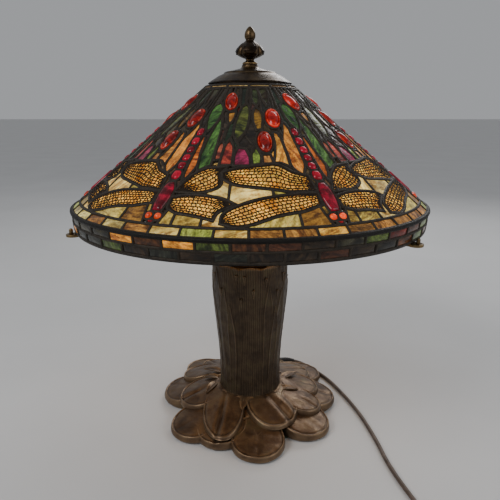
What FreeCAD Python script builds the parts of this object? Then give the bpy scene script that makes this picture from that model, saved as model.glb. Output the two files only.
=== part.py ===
"""Leaded-glass table lamp: bronze lily-pad base, reeded column, three-light cluster, dragonfly shade, cap and finial.

Millimetres, +Z up. The origin is the centre of the felt's underside, on the lamp's axis, and -Y is the front.
"""
import FreeCAD, Part
import math
import os

V = FreeCAD.Vector
Z_AXIS = V(0, 0, 1)
ORIGIN = V(0, 0, 0)

doc = FreeCAD.newDocument("table_lamp")
sheet = doc.addObject("Spreadsheet::Sheet", "dims")

# ---------------------------------------------------------------- driving dimensions

DIMENSIONS = {
    # base
    "felt_radius": 108, "felt_thick": 2.5,
    "cavity_radius": 72, "cavity_top_radius": 34, "cavity_top": 24,
    "plate_radius": 88, "plate_thick": 1.6,
    "screw_radius": 2.0, "screw_circle": 80, "screw_length": 9,
    "dome_rise": 7.5,
    # column and its collar
    "column_top": 246, "column_wall": 5,
    "collar_radius": 46, "collar_thick": 5, "collar_neck": 14, "collar_height": 16,
    # pipes
    "pipe_radius": 5.0, "pipe_bore": 3.4, "pipe_low": 8, "pipe_top": 392,
    "riser_low": 414, "riser_top": 554,
    "nut_radius": 9.5, "nut_thick": 5, "washer_radius": 24, "washer_thick": 2,
    # arms that carry the shade
    "hub_radius": 30, "hub_bore": 14.3, "hub_thick": 5, "arm_width": 15, "arm_thick": 3.2,
    "arm_tip_radius": 254, "tab_radius": 9.5, "stud_radius": 2.6, "stud_height": 7, "first_arm": -67,
    # cluster and sockets
    "cluster_radius": 17, "cluster_low": 384, "cluster_height": 34,
    "socket_tilt": 28, "socket_start": 30, "socket_radius": 17, "socket_length": 46, "socket_wall": 1.2,
    "nipple_radius": 5, "bulb_radius": 27, "bulb_length": 84, "first_socket": 20,
    "chain_radius": 1.5, "chain_drop": 62, "bob_radius": 4.2, "bob_height": 14,
    # shade
    "aperture_radius": 60, "aperture_height": 507.5, "corner_radius": 254, "corner_height": 342,
    "rim_radius": 250.5, "rim_height": 315, "glass_thick": 3, "came_gap": 3, "foil_clear": 0.12,
    "filigree_thick": 0.6, "jewel_rise": 5.5,
    # cord
    "cord_radius": 3, "coil_inner": 21, "coil_outer": 45, "coil_height": 12.4,
    "coil_x": 251, "coil_y": -279.7,
}
for row, (alias, number) in enumerate(DIMENSIONS.items(), start=1):
    sheet.set(f"A{row}", alias)
    sheet.set(f"B{row}", str(number))
    sheet.setAlias(f"B{row}", alias)
doc.recompute()


def dim(alias):
    """A driving dimension, read from the sheet."""
    return float(sheet.get(alias))


# ---------------------------------------------------------------- helpers

nodes = []


def node(item, name):
    """Marks a document object as the sub-part called name."""
    item.Label = name
    nodes.append(item)
    return item


def bind(item, **expressions):
    """Binds an object's properties to expressions on the sheet."""
    for prop, text in expressions.items():
        item.setExpression(prop, text)
    return item


def cells(text):
    """Writes aliases as references to the sheet: 'felt_radius - 1' becomes 'dims.felt_radius - 1'."""
    for alias in sorted(DIMENSIONS, key=len, reverse=True):
        text = text.replace(alias, "dims." + alias) if "dims." + alias not in text else text
    return text


def cylinder(name, radius, height, base, x="0", y="0"):
    """An upright Part::Cylinder whose sizes and place are expressions on the sheet."""
    item = doc.addObject("Part::Cylinder", name)
    item.setExpression("Radius", cells(radius))
    item.setExpression("Height", cells(height))
    item.setExpression("Placement.Base.x", cells(x))
    item.setExpression("Placement.Base.y", cells(y))
    item.setExpression("Placement.Base.z", cells(base))
    return item


def cut(name, body, tool):
    item = doc.addObject("Part::Cut", name)
    item.Base = body
    item.Tool = tool
    return item


def fuse(name, *parts):
    item = doc.addObject("Part::MultiFuse", name)
    item.Shapes = list(parts)
    return item


def tube(name, outer, inner, height, base):
    """A ring or pipe: one cylinder less another."""
    body = cylinder(name + "_outside", outer, height, base)
    hole = cylinder(name + "_bore", inner, height, base)
    return cut(name, body, hole)


def feature(name, shape, placement=None):
    """A Part::Feature that holds a computed shape, on its own placement or on the one given."""
    item = doc.addObject("Part::Feature", name)
    item.Shape = shape
    item.Placement = (placement or FreeCAD.Placement()).multiply(shape.Placement)
    return node(item, name)


def turned(points, smooth=False):
    """A solid of revolution about Z from its (radius, height) outline, closed by a straight line."""
    corners = [V(r, 0, z) for r, z in points]
    if smooth:
        curve = Part.BSplineCurve()
        curve.interpolate(corners)
        edges = [curve.toShape(), Part.makeLine(corners[-1], corners[0])]
    else:
        edges = [Part.makeLine(a, b) for a, b in zip(corners, corners[1:] + corners[:1])]
    return Part.Face(Part.Wire(edges)).revolve(ORIGIN, Z_AXIS, 360)


def on_circle(radius, degrees, z=0.0):
    """A point at an azimuth that counts from the front, positive to the right."""
    a = math.radians(degrees)
    return V(radius * math.sin(a), -radius * math.cos(a), z)


def repeated(shape, times, step=None):
    """Copies of a shape turned about the lamp's axis, as one compound."""
    step = step or 360.0 / times
    copies = []
    for i in range(times):
        one = shape.copy()
        one.rotate(ORIGIN, Z_AXIS, i * step)
        copies += one.Solids
    return copies


# ---------------------------------------------------------------- base

# lily pads: centre x, y and half sizes along x and y; the lower layer makes the base's outline
LOWER_PADS = [
    (-80, 108, 38, 38), (-103, 27, 43, 48), (-82, -71, 39, 40), (-42, -88, 38, 39), (11, -114, 40, 40),
    (82, -66, 40, 40), (99, 10, 42, 45), (83, 88, 44, 44), (22, 110, 48, 45),
]
UPPER_PADS = [
    (-84, 66, 34, 32), (-66, 100, 22, 22), (-76, -12, 38, 42), (-40, -60, 32, 64), (34, -52, 40, 52),
    (78, 14, 36, 36), (80, -36, 32, 30), (68, 66, 38, 38), (4, 80, 40, 44), (-38, 62, 40, 42),
]
PAD_BOTTOM = 2.5
DOME = [(0, 36), (56, 34), (80, 27), (104, 20), (130, 13.5), (158, 10)]


def oval_prism(x, y, half_x, half_y, z0, height):
    """An upright elliptical prism."""
    longer, shorter = max(half_x, half_y), min(half_x, half_y)
    ellipse = Part.Ellipse(ORIGIN, longer, shorter) if longer > shorter else Part.Circle(ORIGIN, Z_AXIS, longer)
    face = Part.Face(Part.Wire(ellipse.toShape()))
    if half_y > half_x:
        face.rotate(ORIGIN, Z_AXIS, 90)
    face.translate(V(x, y, z0))
    return face.extrude(V(0, 0, height))


def under_dome(pads, rise):
    """Pads whose tops follow a dome that falls from the column to the rim."""
    dome = turned([(0, PAD_BOTTOM)] + [(r, z + rise) for r, z in DOME] + [(DOME[-1][0], PAD_BOTTOM)])
    prisms = [oval_prism(x, y, a, b, PAD_BOTTOM, 60) for x, y, a, b in pads]
    return prisms[0].multiFuse(prisms[1:]).common(dome)


# the cord's channel runs out from the cavity and then turns towards the right
CORD_EXIT = V(60, 141, 7.2)
TUNNEL_DIRECTION = V(0.94, 0.342, 0).normalize()
TUNNEL_BEND = CORD_EXIT - TUNNEL_DIRECTION * 25
TUNNEL_RADIUS = 4.4


def base_casting():
    body = under_dome(LOWER_PADS, 0).fuse(under_dome(UPPER_PADS, dim("dome_rise")))
    body = body.fuse(Part.makeCylinder(62, 40, V(0, 0, PAD_BOTTOM)))
    cavity = Part.makeCone(dim("cavity_radius"), dim("cavity_top_radius"), dim("cavity_top") - PAD_BOTTOM,
                           V(0, 0, PAD_BOTTOM))
    recess = Part.makeCylinder(dim("plate_radius") + 0.2, dim("plate_thick"), V(0, 0, PAD_BOTTOM))
    pipe_hole = Part.makeCylinder(dim("pipe_radius") + 0.2, 60)
    mouth = Part.makeCylinder(TUNNEL_RADIUS, 40, TUNNEL_BEND, TUNNEL_DIRECTION)
    inner_end = V(0, 52, CORD_EXIT.z)
    inner_run = Part.makeCylinder(TUNNEL_RADIUS, TUNNEL_BEND.distanceToPoint(inner_end), inner_end,
                                  TUNNEL_BEND - inner_end)
    elbow = Part.makeSphere(TUNNEL_RADIUS, TUNNEL_BEND)
    pilots = [Part.makeCylinder(dim("screw_radius") + 0.05, dim("screw_length") + 1,
                                on_circle(dim("screw_circle"), a, PAD_BOTTOM)) for a in (60, 180, 300)]
    return body.cut([cavity, recess, pipe_hole, mouth, inner_run, elbow] + pilots).removeSplitter()


feature("base_casting", base_casting())

node(cylinder("felt", "felt_radius", "felt_thick", "0"), "base_felt")


def cover_plate():
    plate = Part.makeCylinder(dim("plate_radius"), dim("plate_thick") - 0.1, V(0, 0, PAD_BOTTOM + 0.05))
    holes = [Part.makeCylinder(dim("screw_radius") + 0.05, 10, on_circle(dim("screw_circle"), a, 0))
             for a in (60, 180, 300)]
    return plate.cut(holes)


feature("base_cover_plate", cover_plate())


def cover_screws():
    """Countersunk heads lie flush in the plate, so each screw is a plain shank here."""
    low = PAD_BOTTOM + 0.05
    return Part.makeCompound([Part.makeCylinder(dim("screw_radius"), dim("screw_length"),
                                                on_circle(dim("screw_circle"), a, low)) for a in (60, 180, 300)])


feature("cover_screws", cover_screws())


def cord_grommet():
    """A sleeve in the base's edge that the cord comes out of, with a small flange outside."""
    start = CORD_EXIT - TUNNEL_DIRECTION * 22
    sleeve = Part.makeCylinder(TUNNEL_RADIUS - 0.05, 22, start, TUNNEL_DIRECTION)
    bore = Part.makeCylinder(dim("cord_radius") + 0.15, 60, start, TUNNEL_DIRECTION)
    return sleeve.cut(bore)


feature("cord_grommet", cord_grommet())

# ---------------------------------------------------------------- column, collar, pipes

# outside of the column: (radius, height), widening upwards like a sheaf of reeds
COLUMN_OUTSIDE = [(50, 43), (49.2, 60), (49.2, 90), (50.8, 116), (53, 138), (55.6, 164), (58, 190), (59.6, 210),
                  (59.2, 236), (54, 246)]


def column_casting():
    outside = turned([(0, 43)] + COLUMN_OUTSIDE + [(0, 246)])
    wall = dim("column_wall")
    inside = turned([(0, 43)] + [(r - wall, z) for r, z in COLUMN_OUTSIDE[:-1]] + [(50, 246), (0, 246)])
    return outside.cut(inside)


feature("column_casting", column_casting())

collar_disc = cylinder("collar_disc", "collar_radius", "collar_thick", "column_top - collar_thick - 0.2")
collar_neck = cylinder("collar_neck_post", "collar_neck", "collar_height", "column_top - collar_thick - 0.2")
collar_body = fuse("collar_body", collar_disc, collar_neck)
collar_bore = cylinder("collar_bore", "pipe_radius + 0.2", "60", "column_top - 30")
node(cut("collar", collar_body, collar_bore), "column_collar")

node(tube("pipe_solid", "pipe_radius", "pipe_bore", "pipe_top - pipe_low", "pipe_low"), "centre_pipe")
node(tube("riser_solid", "pipe_radius - 1.2", "pipe_bore - 1.2", "riser_top - riser_low", "riser_low"), "riser_pipe")
node(tube("washer_solid", "washer_radius", "pipe_radius + 0.2", "washer_thick", "cavity_top - washer_thick"),
     "pipe_washer")


def hex_nut(across, thick, z, bore):
    corners = [on_circle(across, 60 * k, z) for k in range(7)]
    prism = Part.Face(Part.makePolygon(corners)).extrude(V(0, 0, thick))
    return prism.cut(Part.makeCylinder(bore, thick, V(0, 0, z)))


nut_low = dim("cavity_top") - dim("washer_thick") - dim("nut_thick")
nut_high = dim("column_top") - dim("collar_thick") - 0.2 + dim("collar_height")
feature("pipe_nuts", Part.makeCompound([
    hex_nut(dim("nut_radius"), dim("nut_thick"), nut_low, dim("pipe_radius")),
    hex_nut(dim("nut_radius"), dim("nut_thick"), nut_high, dim("pipe_radius"))]))

# ---------------------------------------------------------------- cluster, sockets, bulbs, pull chains

cluster_low = dim("cluster_low")
cluster_mid = cluster_low + dim("cluster_height") / 2


def socket_frame(k):
    """Placement of socket k: its own X points out and down along the socket, its Z is up."""
    azimuth = dim("first_socket") + 120 * k
    turn = FreeCAD.Rotation(Z_AXIS, azimuth - 90)
    tilt = FreeCAD.Rotation(V(0, 1, 0), dim("socket_tilt"))
    return FreeCAD.Placement(V(0, 0, cluster_mid), turn.multiply(tilt))


def along_socket(shape, k):
    """Takes a shape made about Z, lays it along the socket's axis, and puts it on socket k."""
    one = shape.copy()
    one.rotate(ORIGIN, V(0, 1, 0), 90)
    one.Placement = socket_frame(k).multiply(one.Placement)
    return one


def cluster_body():
    low, tall, r = cluster_low, dim("cluster_height"), dim("cluster_radius")
    body = turned([(0, low), (r * 0.6, low), (r, low + 8), (r, low + tall - 8), (r * 0.6, low + tall), (0, low + tall)])
    body = body.cut(Part.makeCylinder(dim("pipe_radius") + 0.02, dim("pipe_top") - low, V(0, 0, low)))
    top_bore = Part.makeCylinder(dim("pipe_radius") - 1.2 + 0.02, 60, V(0, 0, dim("riser_low")))
    nipples = [along_socket(Part.makeCylinder(dim("nipple_radius") + 0.02, 30, V(0, 0, 11)), k) for k in range(3)]
    return body.cut([top_bore] + nipples)


feature("cluster_body", cluster_body())

start, reach = dim("socket_start"), dim("socket_length")
shell_r, shell_wall = dim("socket_radius"), dim("socket_wall")
BULB_SEAT = 14
for k in range(3):
    nipple = Part.makeCylinder(dim("nipple_radius"), start - 11, V(0, 0, 11.2))
    feature(f"socket_nipple_{k + 1}", along_socket(nipple, k))
    outside = turned([(0, start), (9, start), (shell_r, start + 9), (shell_r, start + reach), (0, start + reach)])
    inside = turned([(0, start + BULB_SEAT), (shell_r - shell_wall, start + BULB_SEAT),
                     (shell_r - shell_wall, start + reach), (0, start + reach)])
    hole = Part.makeCylinder(dim("nipple_radius"), 1.0, V(0, 0, start - 0.5))
    shell = outside.cut(inside).cut(hole)
    feature(f"socket_shell_{k + 1}", along_socket(shell, k))
    seat = start + BULB_SEAT + 0.6
    mouth = start + reach
    base = turned([(0, seat), (6, seat), (13, seat + 6), (13, mouth - 4), (0, mouth - 4)])
    feature(f"bulb_base_{k + 1}", along_socket(base, k))
    r, long = dim("bulb_radius"), dim("bulb_length")
    glass = turned([(0, mouth - 3.7), (13, mouth - 3.7), (14, mouth + 8), (19, mouth + 24), (25, mouth + 38),
                    (r, mouth + 51), (r * 0.93, mouth + 64), (r * 0.72, mouth + 75), (r * 0.38, mouth + long - 2),
                    (0, mouth + long)])
    feature(f"bulb_glass_{k + 1}", along_socket(glass, k))


def pull_chain(k):
    """A ball chain that hangs beside the socket's housing, with a turned bob on its end."""
    azimuth = dim("first_socket") + 120 * k
    top = on_circle(44, azimuth + 26, cluster_mid - 26)
    drop = dim("chain_drop")
    chain = Part.makeCylinder(dim("chain_radius"), drop, top - V(0, 0, drop))
    bob_top = top - V(0, 0, drop)
    r, tall = dim("bob_radius"), dim("bob_height")
    bob = turned([(0, 0), (1.6, 0), (r * 0.7, -3), (r, -8), (r * 0.6, -12), (0, -tall)])
    bob.translate(bob_top + V(0, 0, 0.4))
    return chain.fuse(bob).removeSplitter()


for k in range(3):
    feature(f"pull_chain_{k + 1}", pull_chain(k))

# ---------------------------------------------------------------- arms that carry the shade

hub_low = dim("column_top") + 0.1
tip_z = dim("rim_height") - dim("arm_thick") - 0.3
ARM_AZIMUTHS = [dim("first_arm") + 120 * k for k in range(3)]


def hub_ring():
    ring = Part.makeCylinder(dim("hub_radius"), dim("hub_thick"), V(0, 0, hub_low))
    return ring.cut(Part.makeCylinder(dim("hub_bore"), 20, V(0, 0, hub_low - 5)))


def arm(azimuth):
    """A flat bar that leaves the hub level, climbs to the rim, and ends in a level round tab."""
    thick, wide = dim("arm_thick"), dim("arm_width")
    root, tip = dim("hub_radius") - 13, dim("arm_tip_radius") - 16
    z0 = hub_low + dim("hub_thick") + 0.05
    side = [(root, z0), (root + 26, z0), (tip - 14, tip_z), (tip, tip_z), (tip, tip_z + thick),
            (tip - 15, tip_z + thick), (root + 25, z0 + thick), (root, z0 + thick)]
    corners = [V(x, -wide / 2, z) for x, z in side]
    bar = Part.Face(Part.makePolygon(corners + corners[:1])).extrude(V(0, wide, 0))
    tab = Part.makeCylinder(dim("tab_radius"), thick, V(dim("arm_tip_radius"), 0, tip_z))
    neck = Part.makeBox(20, wide, thick, V(tip - 2, -wide / 2, tip_z))
    solid = bar.fuse([tab, neck]).removeSplitter()
    solid = solid.cut(Part.makeCylinder(2.05, 40, V(root + 7, 0, z0 - 10)))
    solid.rotate(ORIGIN, Z_AXIS, azimuth - 90)
    return solid


feature("hub_ring", hub_ring().cut([Part.makeCylinder(2.05, 40, on_circle(dim("hub_radius") - 6, a, hub_low - 10))
                                    for a in ARM_AZIMUTHS]))
for k, azimuth in enumerate(ARM_AZIMUTHS):
    feature(f"support_arm_{k + 1}", arm(azimuth))


def arm_screws():
    screws = []
    for azimuth in ARM_AZIMUTHS:
        foot = on_circle(dim("hub_radius") - 6, azimuth, hub_low + 0.3)
        top = hub_low + dim("hub_thick") + 0.05 + dim("arm_thick") + 0.02
        shank = Part.makeCylinder(2.0, top - foot.z + 1, foot)
        head = Part.makeCylinder(4.0, 2.4, V(foot.x, foot.y, top))
        screws.append(shank.fuse(head).removeSplitter())
    return Part.makeCompound(screws)


feature("arm_screws", arm_screws())


def rim_studs():
    """Round-headed studs that stand on the tabs just outside the rim and keep the shade centred."""
    studs = []
    for azimuth in ARM_AZIMUTHS:
        foot = on_circle(dim("rim_radius") + 6.2, azimuth, tip_z + dim("arm_thick") + 0.02)
        post = Part.makeCylinder(dim("stud_radius"), dim("stud_height") - 2, foot)
        cap = Part.makeSphere(dim("stud_radius"), foot + V(0, 0, dim("stud_height") - 2))
        studs.append(post.fuse(cap).removeSplitter())
    return Part.makeCompound(studs)


feature("rim_studs", rim_studs())

# ---------------------------------------------------------------- shade: cartoon on the developed cone

# The upper cone unrolls flat. A point of the cartoon is (u, s): u is degrees of azimuth from a dragonfly's axis,
# and s is millimetres down the cone from its aperture. The cartoon repeats at every dragonfly.
DRAGONFLIES = 7
PERIOD = 360.0 / DRAGONFLIES
FIRST_DRAGONFLY = 24.3 - PERIOD

top_r, top_z = dim("aperture_radius"), dim("aperture_height")
low_r, low_z = dim("corner_radius"), dim("corner_height")
slant = math.hypot(low_r - top_r, top_z - low_z)
sin_half = (low_r - top_r) / slant
cos_half = (top_z - low_z) / slant
apex_z = top_z + top_r * cos_half / sin_half
apex_slant = top_r / sin_half
thick, gap = dim("glass_thick"), dim("came_gap")
clear = dim("foil_clear")

WINGS = [
    # upper and lower wing right of the body
    [(3.2, 190), (4.4, 179.6), (6.5, 166), (11.4, 154), (18.2, 152), (16.4, 160), (16.5, 168), (17.3, 175),
     (16.4, 182), (10.7, 190)],
    [(3.1, 199.5), (7.5, 195.6), (13.2, 196.2), (18.8, 199), (22.4, 205.5), (19.9, 211.5), (17.8, 219),
     (17.2, 227.3), (12.4, 222.8), (6.2, 219.5), (3.4, 214)],
    # upper and lower wing left of the body
    [(-3.2, 189), (-4, 167), (-9.3, 159.5), (-13.8, 148.5), (-20.8, 149.6), (-29.2, 153.5), (-33.6, 160),
     (-33.2, 168.6), (-29.2, 176.5), (-20.1, 182), (-11.7, 188)],
    [(-3.3, 193.5), (-10.3, 193), (-20.1, 198), (-27.1, 207.7), (-31.4, 221), (-31.6, 231.5), (-27.8, 235.6),
     (-23.6, 232), (-16.6, 221), (-9.6, 216.3), (-3.6, 209)],
]
BEADS = [(94, 12, 1.65, 1.8), (110, 12, 1.75, 1.8), (124.5, 10.5, 1.6, 1.7), (138, 10, 1.6, 1.6),
         (151, 10.5, 1.5, 1.5), (166, 13.5, 1.5, 1.6)]
THORAX = [(-1.0, 178), (1.0, 178), (1.9, 186), (2.2, 198), (1.9, 210), (1.3, 219.5), (-1.3, 219.5),
          (-1.9, 210), (-2.2, 198), (-1.9, 186)]
EYES = [(-1.5, 227.4, 4.3), (1.5, 227.4, 4.3)]
HEAD = [(-0.85, 233.8), (0.85, 233.8), (0.5, 236.4), (-0.5, 236.4)]
# cabochons: u, s, half width, half height, lean in degrees
JEWELS = [(12.1, 38, 8.2, 16.5, 8), (41.5, 69, 9.3, 17, -4), (34.1, 110, 8.6, 17.3, 0)]
BLADES = [
    [(36.4, 13), (43.6, 13), (43.2, 24), (41.6, 36), (40.4, 47), (38.9, 36), (37.2, 24)],
    [(29.6, 14), (34.0, 14), (34.2, 30), (32.4, 44), (30.4, 40), (29.2, 26)],
    [(0.2, 46), (3, 41), (6.6, 50), (6.5, 72), (5, 84), (3.6, 92), (1.4, 80), (-0.2, 68)],
    [(12.9, 60), (16.9, 57.5), (16.4, 70), (15, 79), (13.8, 71)],
    [(24.4, 42), (26.2, 52), (25.8, 74), (24, 92), (21, 109.5), (19.4, 98), (18.9, 84), (20.2, 62), (21.9, 50)],
    [(9.2, 66), (10.5, 84), (11.2, 110), (11.5, 148), (7.6, 155.5), (6.4, 130), (6.7, 100), (7.7, 80)],
    [(3.1, 102.5), (3.8, 102.5), (4.3, 112), (5.0, 130), (5.9, 152), (4.9, 163), (3.5, 175), (3.2, 160), (3.0, 130)],
    [(13.9, 108), (14.9, 117), (14.8, 138), (13.0, 139), (12.9, 120)],
    [(17.6, 106), (19.2, 118), (19.6, 146.5), (15.7, 147), (16.2, 118)],
    [(22.0, 121), (24.8, 123), (26.4, 134), (26.8, 147), (21.2, 147.5), (21.1, 132)],
    [(29.2, 118), (31.2, 132), (31, 144.5), (28.5, 145.5), (28.2, 132)],
    [(32.7, 132.5), (35.3, 132.5), (35.8, 143.5), (32.6, 144)],
    [(39.4, 94), (41.2, 97), (42.0, 115), (42.2, 149.5), (39.4, 143), (37.2, 142.5), (38.3, 130), (39.4, 112)],
    [(47.3, 76), (48.3, 86), (48.4, 104), (48.5, 128), (48.2, 150), (46.4, 162.5), (44, 153), (43.7, 130),
     (43.6, 108), (45.2, 94), (46.4, 84)],
    [(31.4, 51), (33.8, 55), (34.3, 70), (33.2, 86.5), (31.2, 88), (29.6, 74), (29.8, 58)],
]
# cuts that divide the ground between the blades, from ring to tip and from tip to wing
CUTS = [
    [(2.8, 10), (2.8, 42)], [(7.2, 10), (8.4, 46), (9.2, 67)], [(12.3, 10), (11.9, 24)], [(17.6, 10), (20.4, 62)],
    [(25, 10), (24.4, 43)], [(13.2, 52), (14.6, 60)], [(15, 78), (14.1, 109)], [(17, 59), (19.6, 64)],
    [(13.9, 137), (13.6, 156)], [(18.9, 85), (17.6, 107)], [(10.6, 86), (14.6, 90)], [(21, 108), (22.2, 122)],
    [(25.9, 70), (29.8, 72)], [(26.2, 132), (28.4, 131)], [(27.8, 10), (27.4, 46), (26.2, 54)],
    [(25, 100), (29.2, 119)], [(35, 10), (35.4, 40), (34.4, 66)], [(32.2, 42), (32.2, 54)], [(35, 128), (34.3, 134)],
    [(44.8, 10), (45.2, 40), (44, 60)], [(39, 98), (37, 100)], [(40.4, 46), (40.6, 53)], [(43, 84), (43.8, 110)],
    [(48.4, 10), (47.6, 50), (47.4, 78)], [(3.4, 92), (3.3, 100)], [(0.2, 68), (-0.6, 88)], [(6.6, 100), (3.4, 101)],
    [(35.8, 142), (38, 145)], [(33, 86), (33.6, 93)], [(1.6, 90), (3.2, 100)],
    # between the wings, and below them
    [(13.2, 187), (13.6, 198)], [(20.6, 176), (20.8, 204)], [(34.2, 181), (34.4, 198)], [(41.6, 186), (41.8, 196)],
    [(6.4, 218), (6.4, 238)], [(14.4, 222), (14.4, 238)], [(40.6, 214), (40.6, 238)], [(4, 212), (2.4, 238)],
    [(47.2, 210), (49, 238)],
]


def unrolled(u, s):
    """The cartoon point (u, s) on the developed cone, whose apex is the origin."""
    angle, distance = math.radians(u * sin_half), apex_slant + s
    return V(distance * math.sin(angle), -distance * math.cos(angle), 0)


def polygon_area(points):
    return 0.5 * sum(a.x * b.y - b.x * a.y for a, b in zip(points, points[1:] + points[:1]))


def grown(points, margin, longest=1.7):
    """A polygon grown by a margin, with the corners of sharp tips held to a few margins."""
    turn = 1 if polygon_area(points) > 0 else -1
    result = []
    for before, here, after in zip(points[-1:] + points[:-1], points, points[1:] + points[:1]):
        a, b = (here - before).normalize(), (after - here).normalize()
        out = V(a.y + b.y, -a.x - b.x, 0) * turn
        reach = min(longest, 2.0 / max(out.Length ** 2, 1e-6) * out.Length)
        result.append(here + out.normalize() * margin * reach)
    return result


def flat_face(points):
    return Part.Face(Part.makePolygon(points + points[:1]))


def shifted(outline, periods):
    return [(u + periods * PERIOD, s) for u, s in outline]


OVAL_CORNERS = 14


def cartoon_place(point):
    """The azimuth and the slant distance of a point of the developed cone."""
    return math.degrees(math.atan2(point.x, -point.y)) / sin_half, math.hypot(point.x, point.y) - apex_slant


def oval(u, s, half_w, half_h, lean=0.0):
    """Cartoon points of an oval given in millimetres."""
    turned_by = math.radians(lean + u * sin_half)
    across = V(math.cos(turned_by), math.sin(turned_by), 0)
    down = V(math.sin(turned_by), -math.cos(turned_by), 0)
    angles = [2 * math.pi * i / OVAL_CORNERS for i in range(OVAL_CORNERS)]
    return [cartoon_place(unrolled(u, s) + across * (half_w * math.cos(a)) + down * (half_h * math.sin(a)))
            for a in angles]


def bead(s, tall, half_top, half_low):
    low, high = s + tall / 2, s - tall / 2
    return [(-half_top * 0.6, high), (half_top * 0.6, high), (half_top, high + 3), (half_low, low - 3),
            (half_low * 0.6, low), (-half_low * 0.6, low), (-half_low, low - 3), (-half_top, high + 3)]


def stroke(points, width):
    """A straight-sided band along an open line of the cartoon."""
    line = [unrolled(u, s) for u, s in points]
    left, right = [], []
    for i, here in enumerate(line):
        ahead = line[min(i + 1, len(line) - 1)] - line[max(i - 1, 0)]
        side = V(-ahead.y, ahead.x, 0).normalize() * (width / 2)
        left.append(here + side)
        right.append(here - side)
    return left + right[::-1]


def lay(shape, u):
    """Lays a flat shape of the developed cone on the cone, tangent to it along the line at u."""
    one = shape.copy()
    one.rotate(ORIGIN, Z_AXIS, -u * sin_half)
    azimuth = FIRST_DRAGONFLY + u
    across = on_circle(1, azimuth + 90)
    outward = on_circle(cos_half, azimuth, sin_half)
    up = outward.cross(across)
    frame = FreeCAD.Matrix(across.x, up.x, outward.x, 0, across.y, up.y, outward.y, 0,
                           across.z, up.z, outward.z, apex_z, 0, 0, 0, 1)
    one.transformShape(frame)
    return one


def middle_u(points):
    """The azimuth at the middle of an unrolled polygon."""
    return cartoon_place(flat_face(points).CenterOfMass)[0]


def pane(points, deep=None, out=0.0):
    """A flat pane of glass, its outer face tangent to the cone."""
    deep = deep or thick
    face = flat_face([p + V(0, 0, out - deep) for p in points])
    return lay(face.extrude(V(0, 0, deep)), middle_u(points))


def came_frame(points):
    """The lead that wraps one pane's edge, in one piece, as deep as the glass."""
    outer = flat_face([p - V(0, 0, thick) for p in grown(points, gap / 2 - clear)])
    inner = flat_face([p - V(0, 0, thick) for p in grown(points, clear)])
    return lay(outer.cut(inner).extrude(V(0, 0, thick)), middle_u(points))


def cone_shell(out_low, out_high):
    """The cone's wall between two offsets from its outer surface."""
    def line(offset):
        return [(top_r - 6 * sin_half + offset * cos_half, top_z + 6 * cos_half + offset * sin_half),
                (low_r + offset * cos_half, low_z + offset * sin_half)]
    high, low = line(out_high), line(out_low)
    return turned(high + low[::-1])


def curved(points, shell, hole=None):
    """A piece bent to the cone: a prism of the flat outline, cut to the shell."""
    face = flat_face([p - V(0, 0, 16) for p in points])
    if hole:
        face = face.cut(flat_face([p - V(0, 0, 16) for p in hole]))
    return lay(face.extrude(V(0, 0, 26)), middle_u(points)).common(shell)


def glass_node(name, solids):
    feature(name, Part.makeCompound(solids))


wing_outlines = [[unrolled(u, s) for u, s in wing] for wing in WINGS]
bead_outlines = [[unrolled(u, s) for u, s in bead(*one)] for one in BEADS]
thorax_outline = [unrolled(u, s) for u, s in THORAX]
eye_ovals = [oval(u, s, r, r) for u, s, r in EYES]
eye_outlines = [[unrolled(u, s) for u, s in one] for one in eye_ovals]
head_outline = [unrolled(u, s) for u, s in HEAD]
jewel_outlines = [[unrolled(u, s) for u, s in oval(*one)] for one in JEWELS]
blade_outlines = [[unrolled(u, s) for u, s in blade] for blade in BLADES]

glass_shell = cone_shell(-thick, 0)
filigree_shell = cone_shell(0.25, 0.25 + dim("filigree_thick"))
glass_node("wing_glass", [c for w in wing_outlines for c in repeated(curved(w, glass_shell), DRAGONFLIES)])
glass_node("wing_filigree", [c for w in wing_outlines
                             for c in repeated(curved(grown(w, -0.6), filigree_shell), DRAGONFLIES)])
wing_frames = [curved(grown(w, gap / 2 - clear), glass_shell, hole=grown(w, clear)) for w in wing_outlines]
glass_node("wing_came", [c for w in wing_frames for c in repeated(w, DRAGONFLIES)])

glass_node("tail_beads", [c for b in bead_outlines for c in repeated(pane(b, out=0.8, deep=thick), DRAGONFLIES)])
glass_node("thorax_glass", repeated(pane(thorax_outline, out=1.2), DRAGONFLIES))
glass_node("eye_glass", [c for e in eye_outlines for c in repeated(pane(e, out=1.5), DRAGONFLIES)])
glass_node("head_glass", repeated(pane(head_outline, out=0.6), DRAGONFLIES))


def jewel(u, s, half_w, half_h, lean):
    """A pressed oval cabochon, domed outwards, flat inside. It fits inside its frame's straight sides."""
    fit = math.cos(math.pi / OVAL_CORNERS) - 0.01
    squeeze = FreeCAD.Matrix()
    squeeze.scale(half_w * fit, half_h * fit, dim("jewel_rise") + thick)
    upper_half = Part.makeSphere(1, ORIGIN, Z_AXIS, 0, 90, 360)
    dome = upper_half.transformGeometry(squeeze)
    dome.rotate(ORIGIN, Z_AXIS, lean + u * sin_half)
    dome.translate(unrolled(u, s) - V(0, 0, thick))
    return lay(dome, u)


glass_node("jewel_glass", [c for one in JEWELS for c in repeated(jewel(*one), DRAGONFLIES)])
glass_node("blade_glass", [c for b in blade_outlines for c in repeated(pane(b), DRAGONFLIES)])

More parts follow.
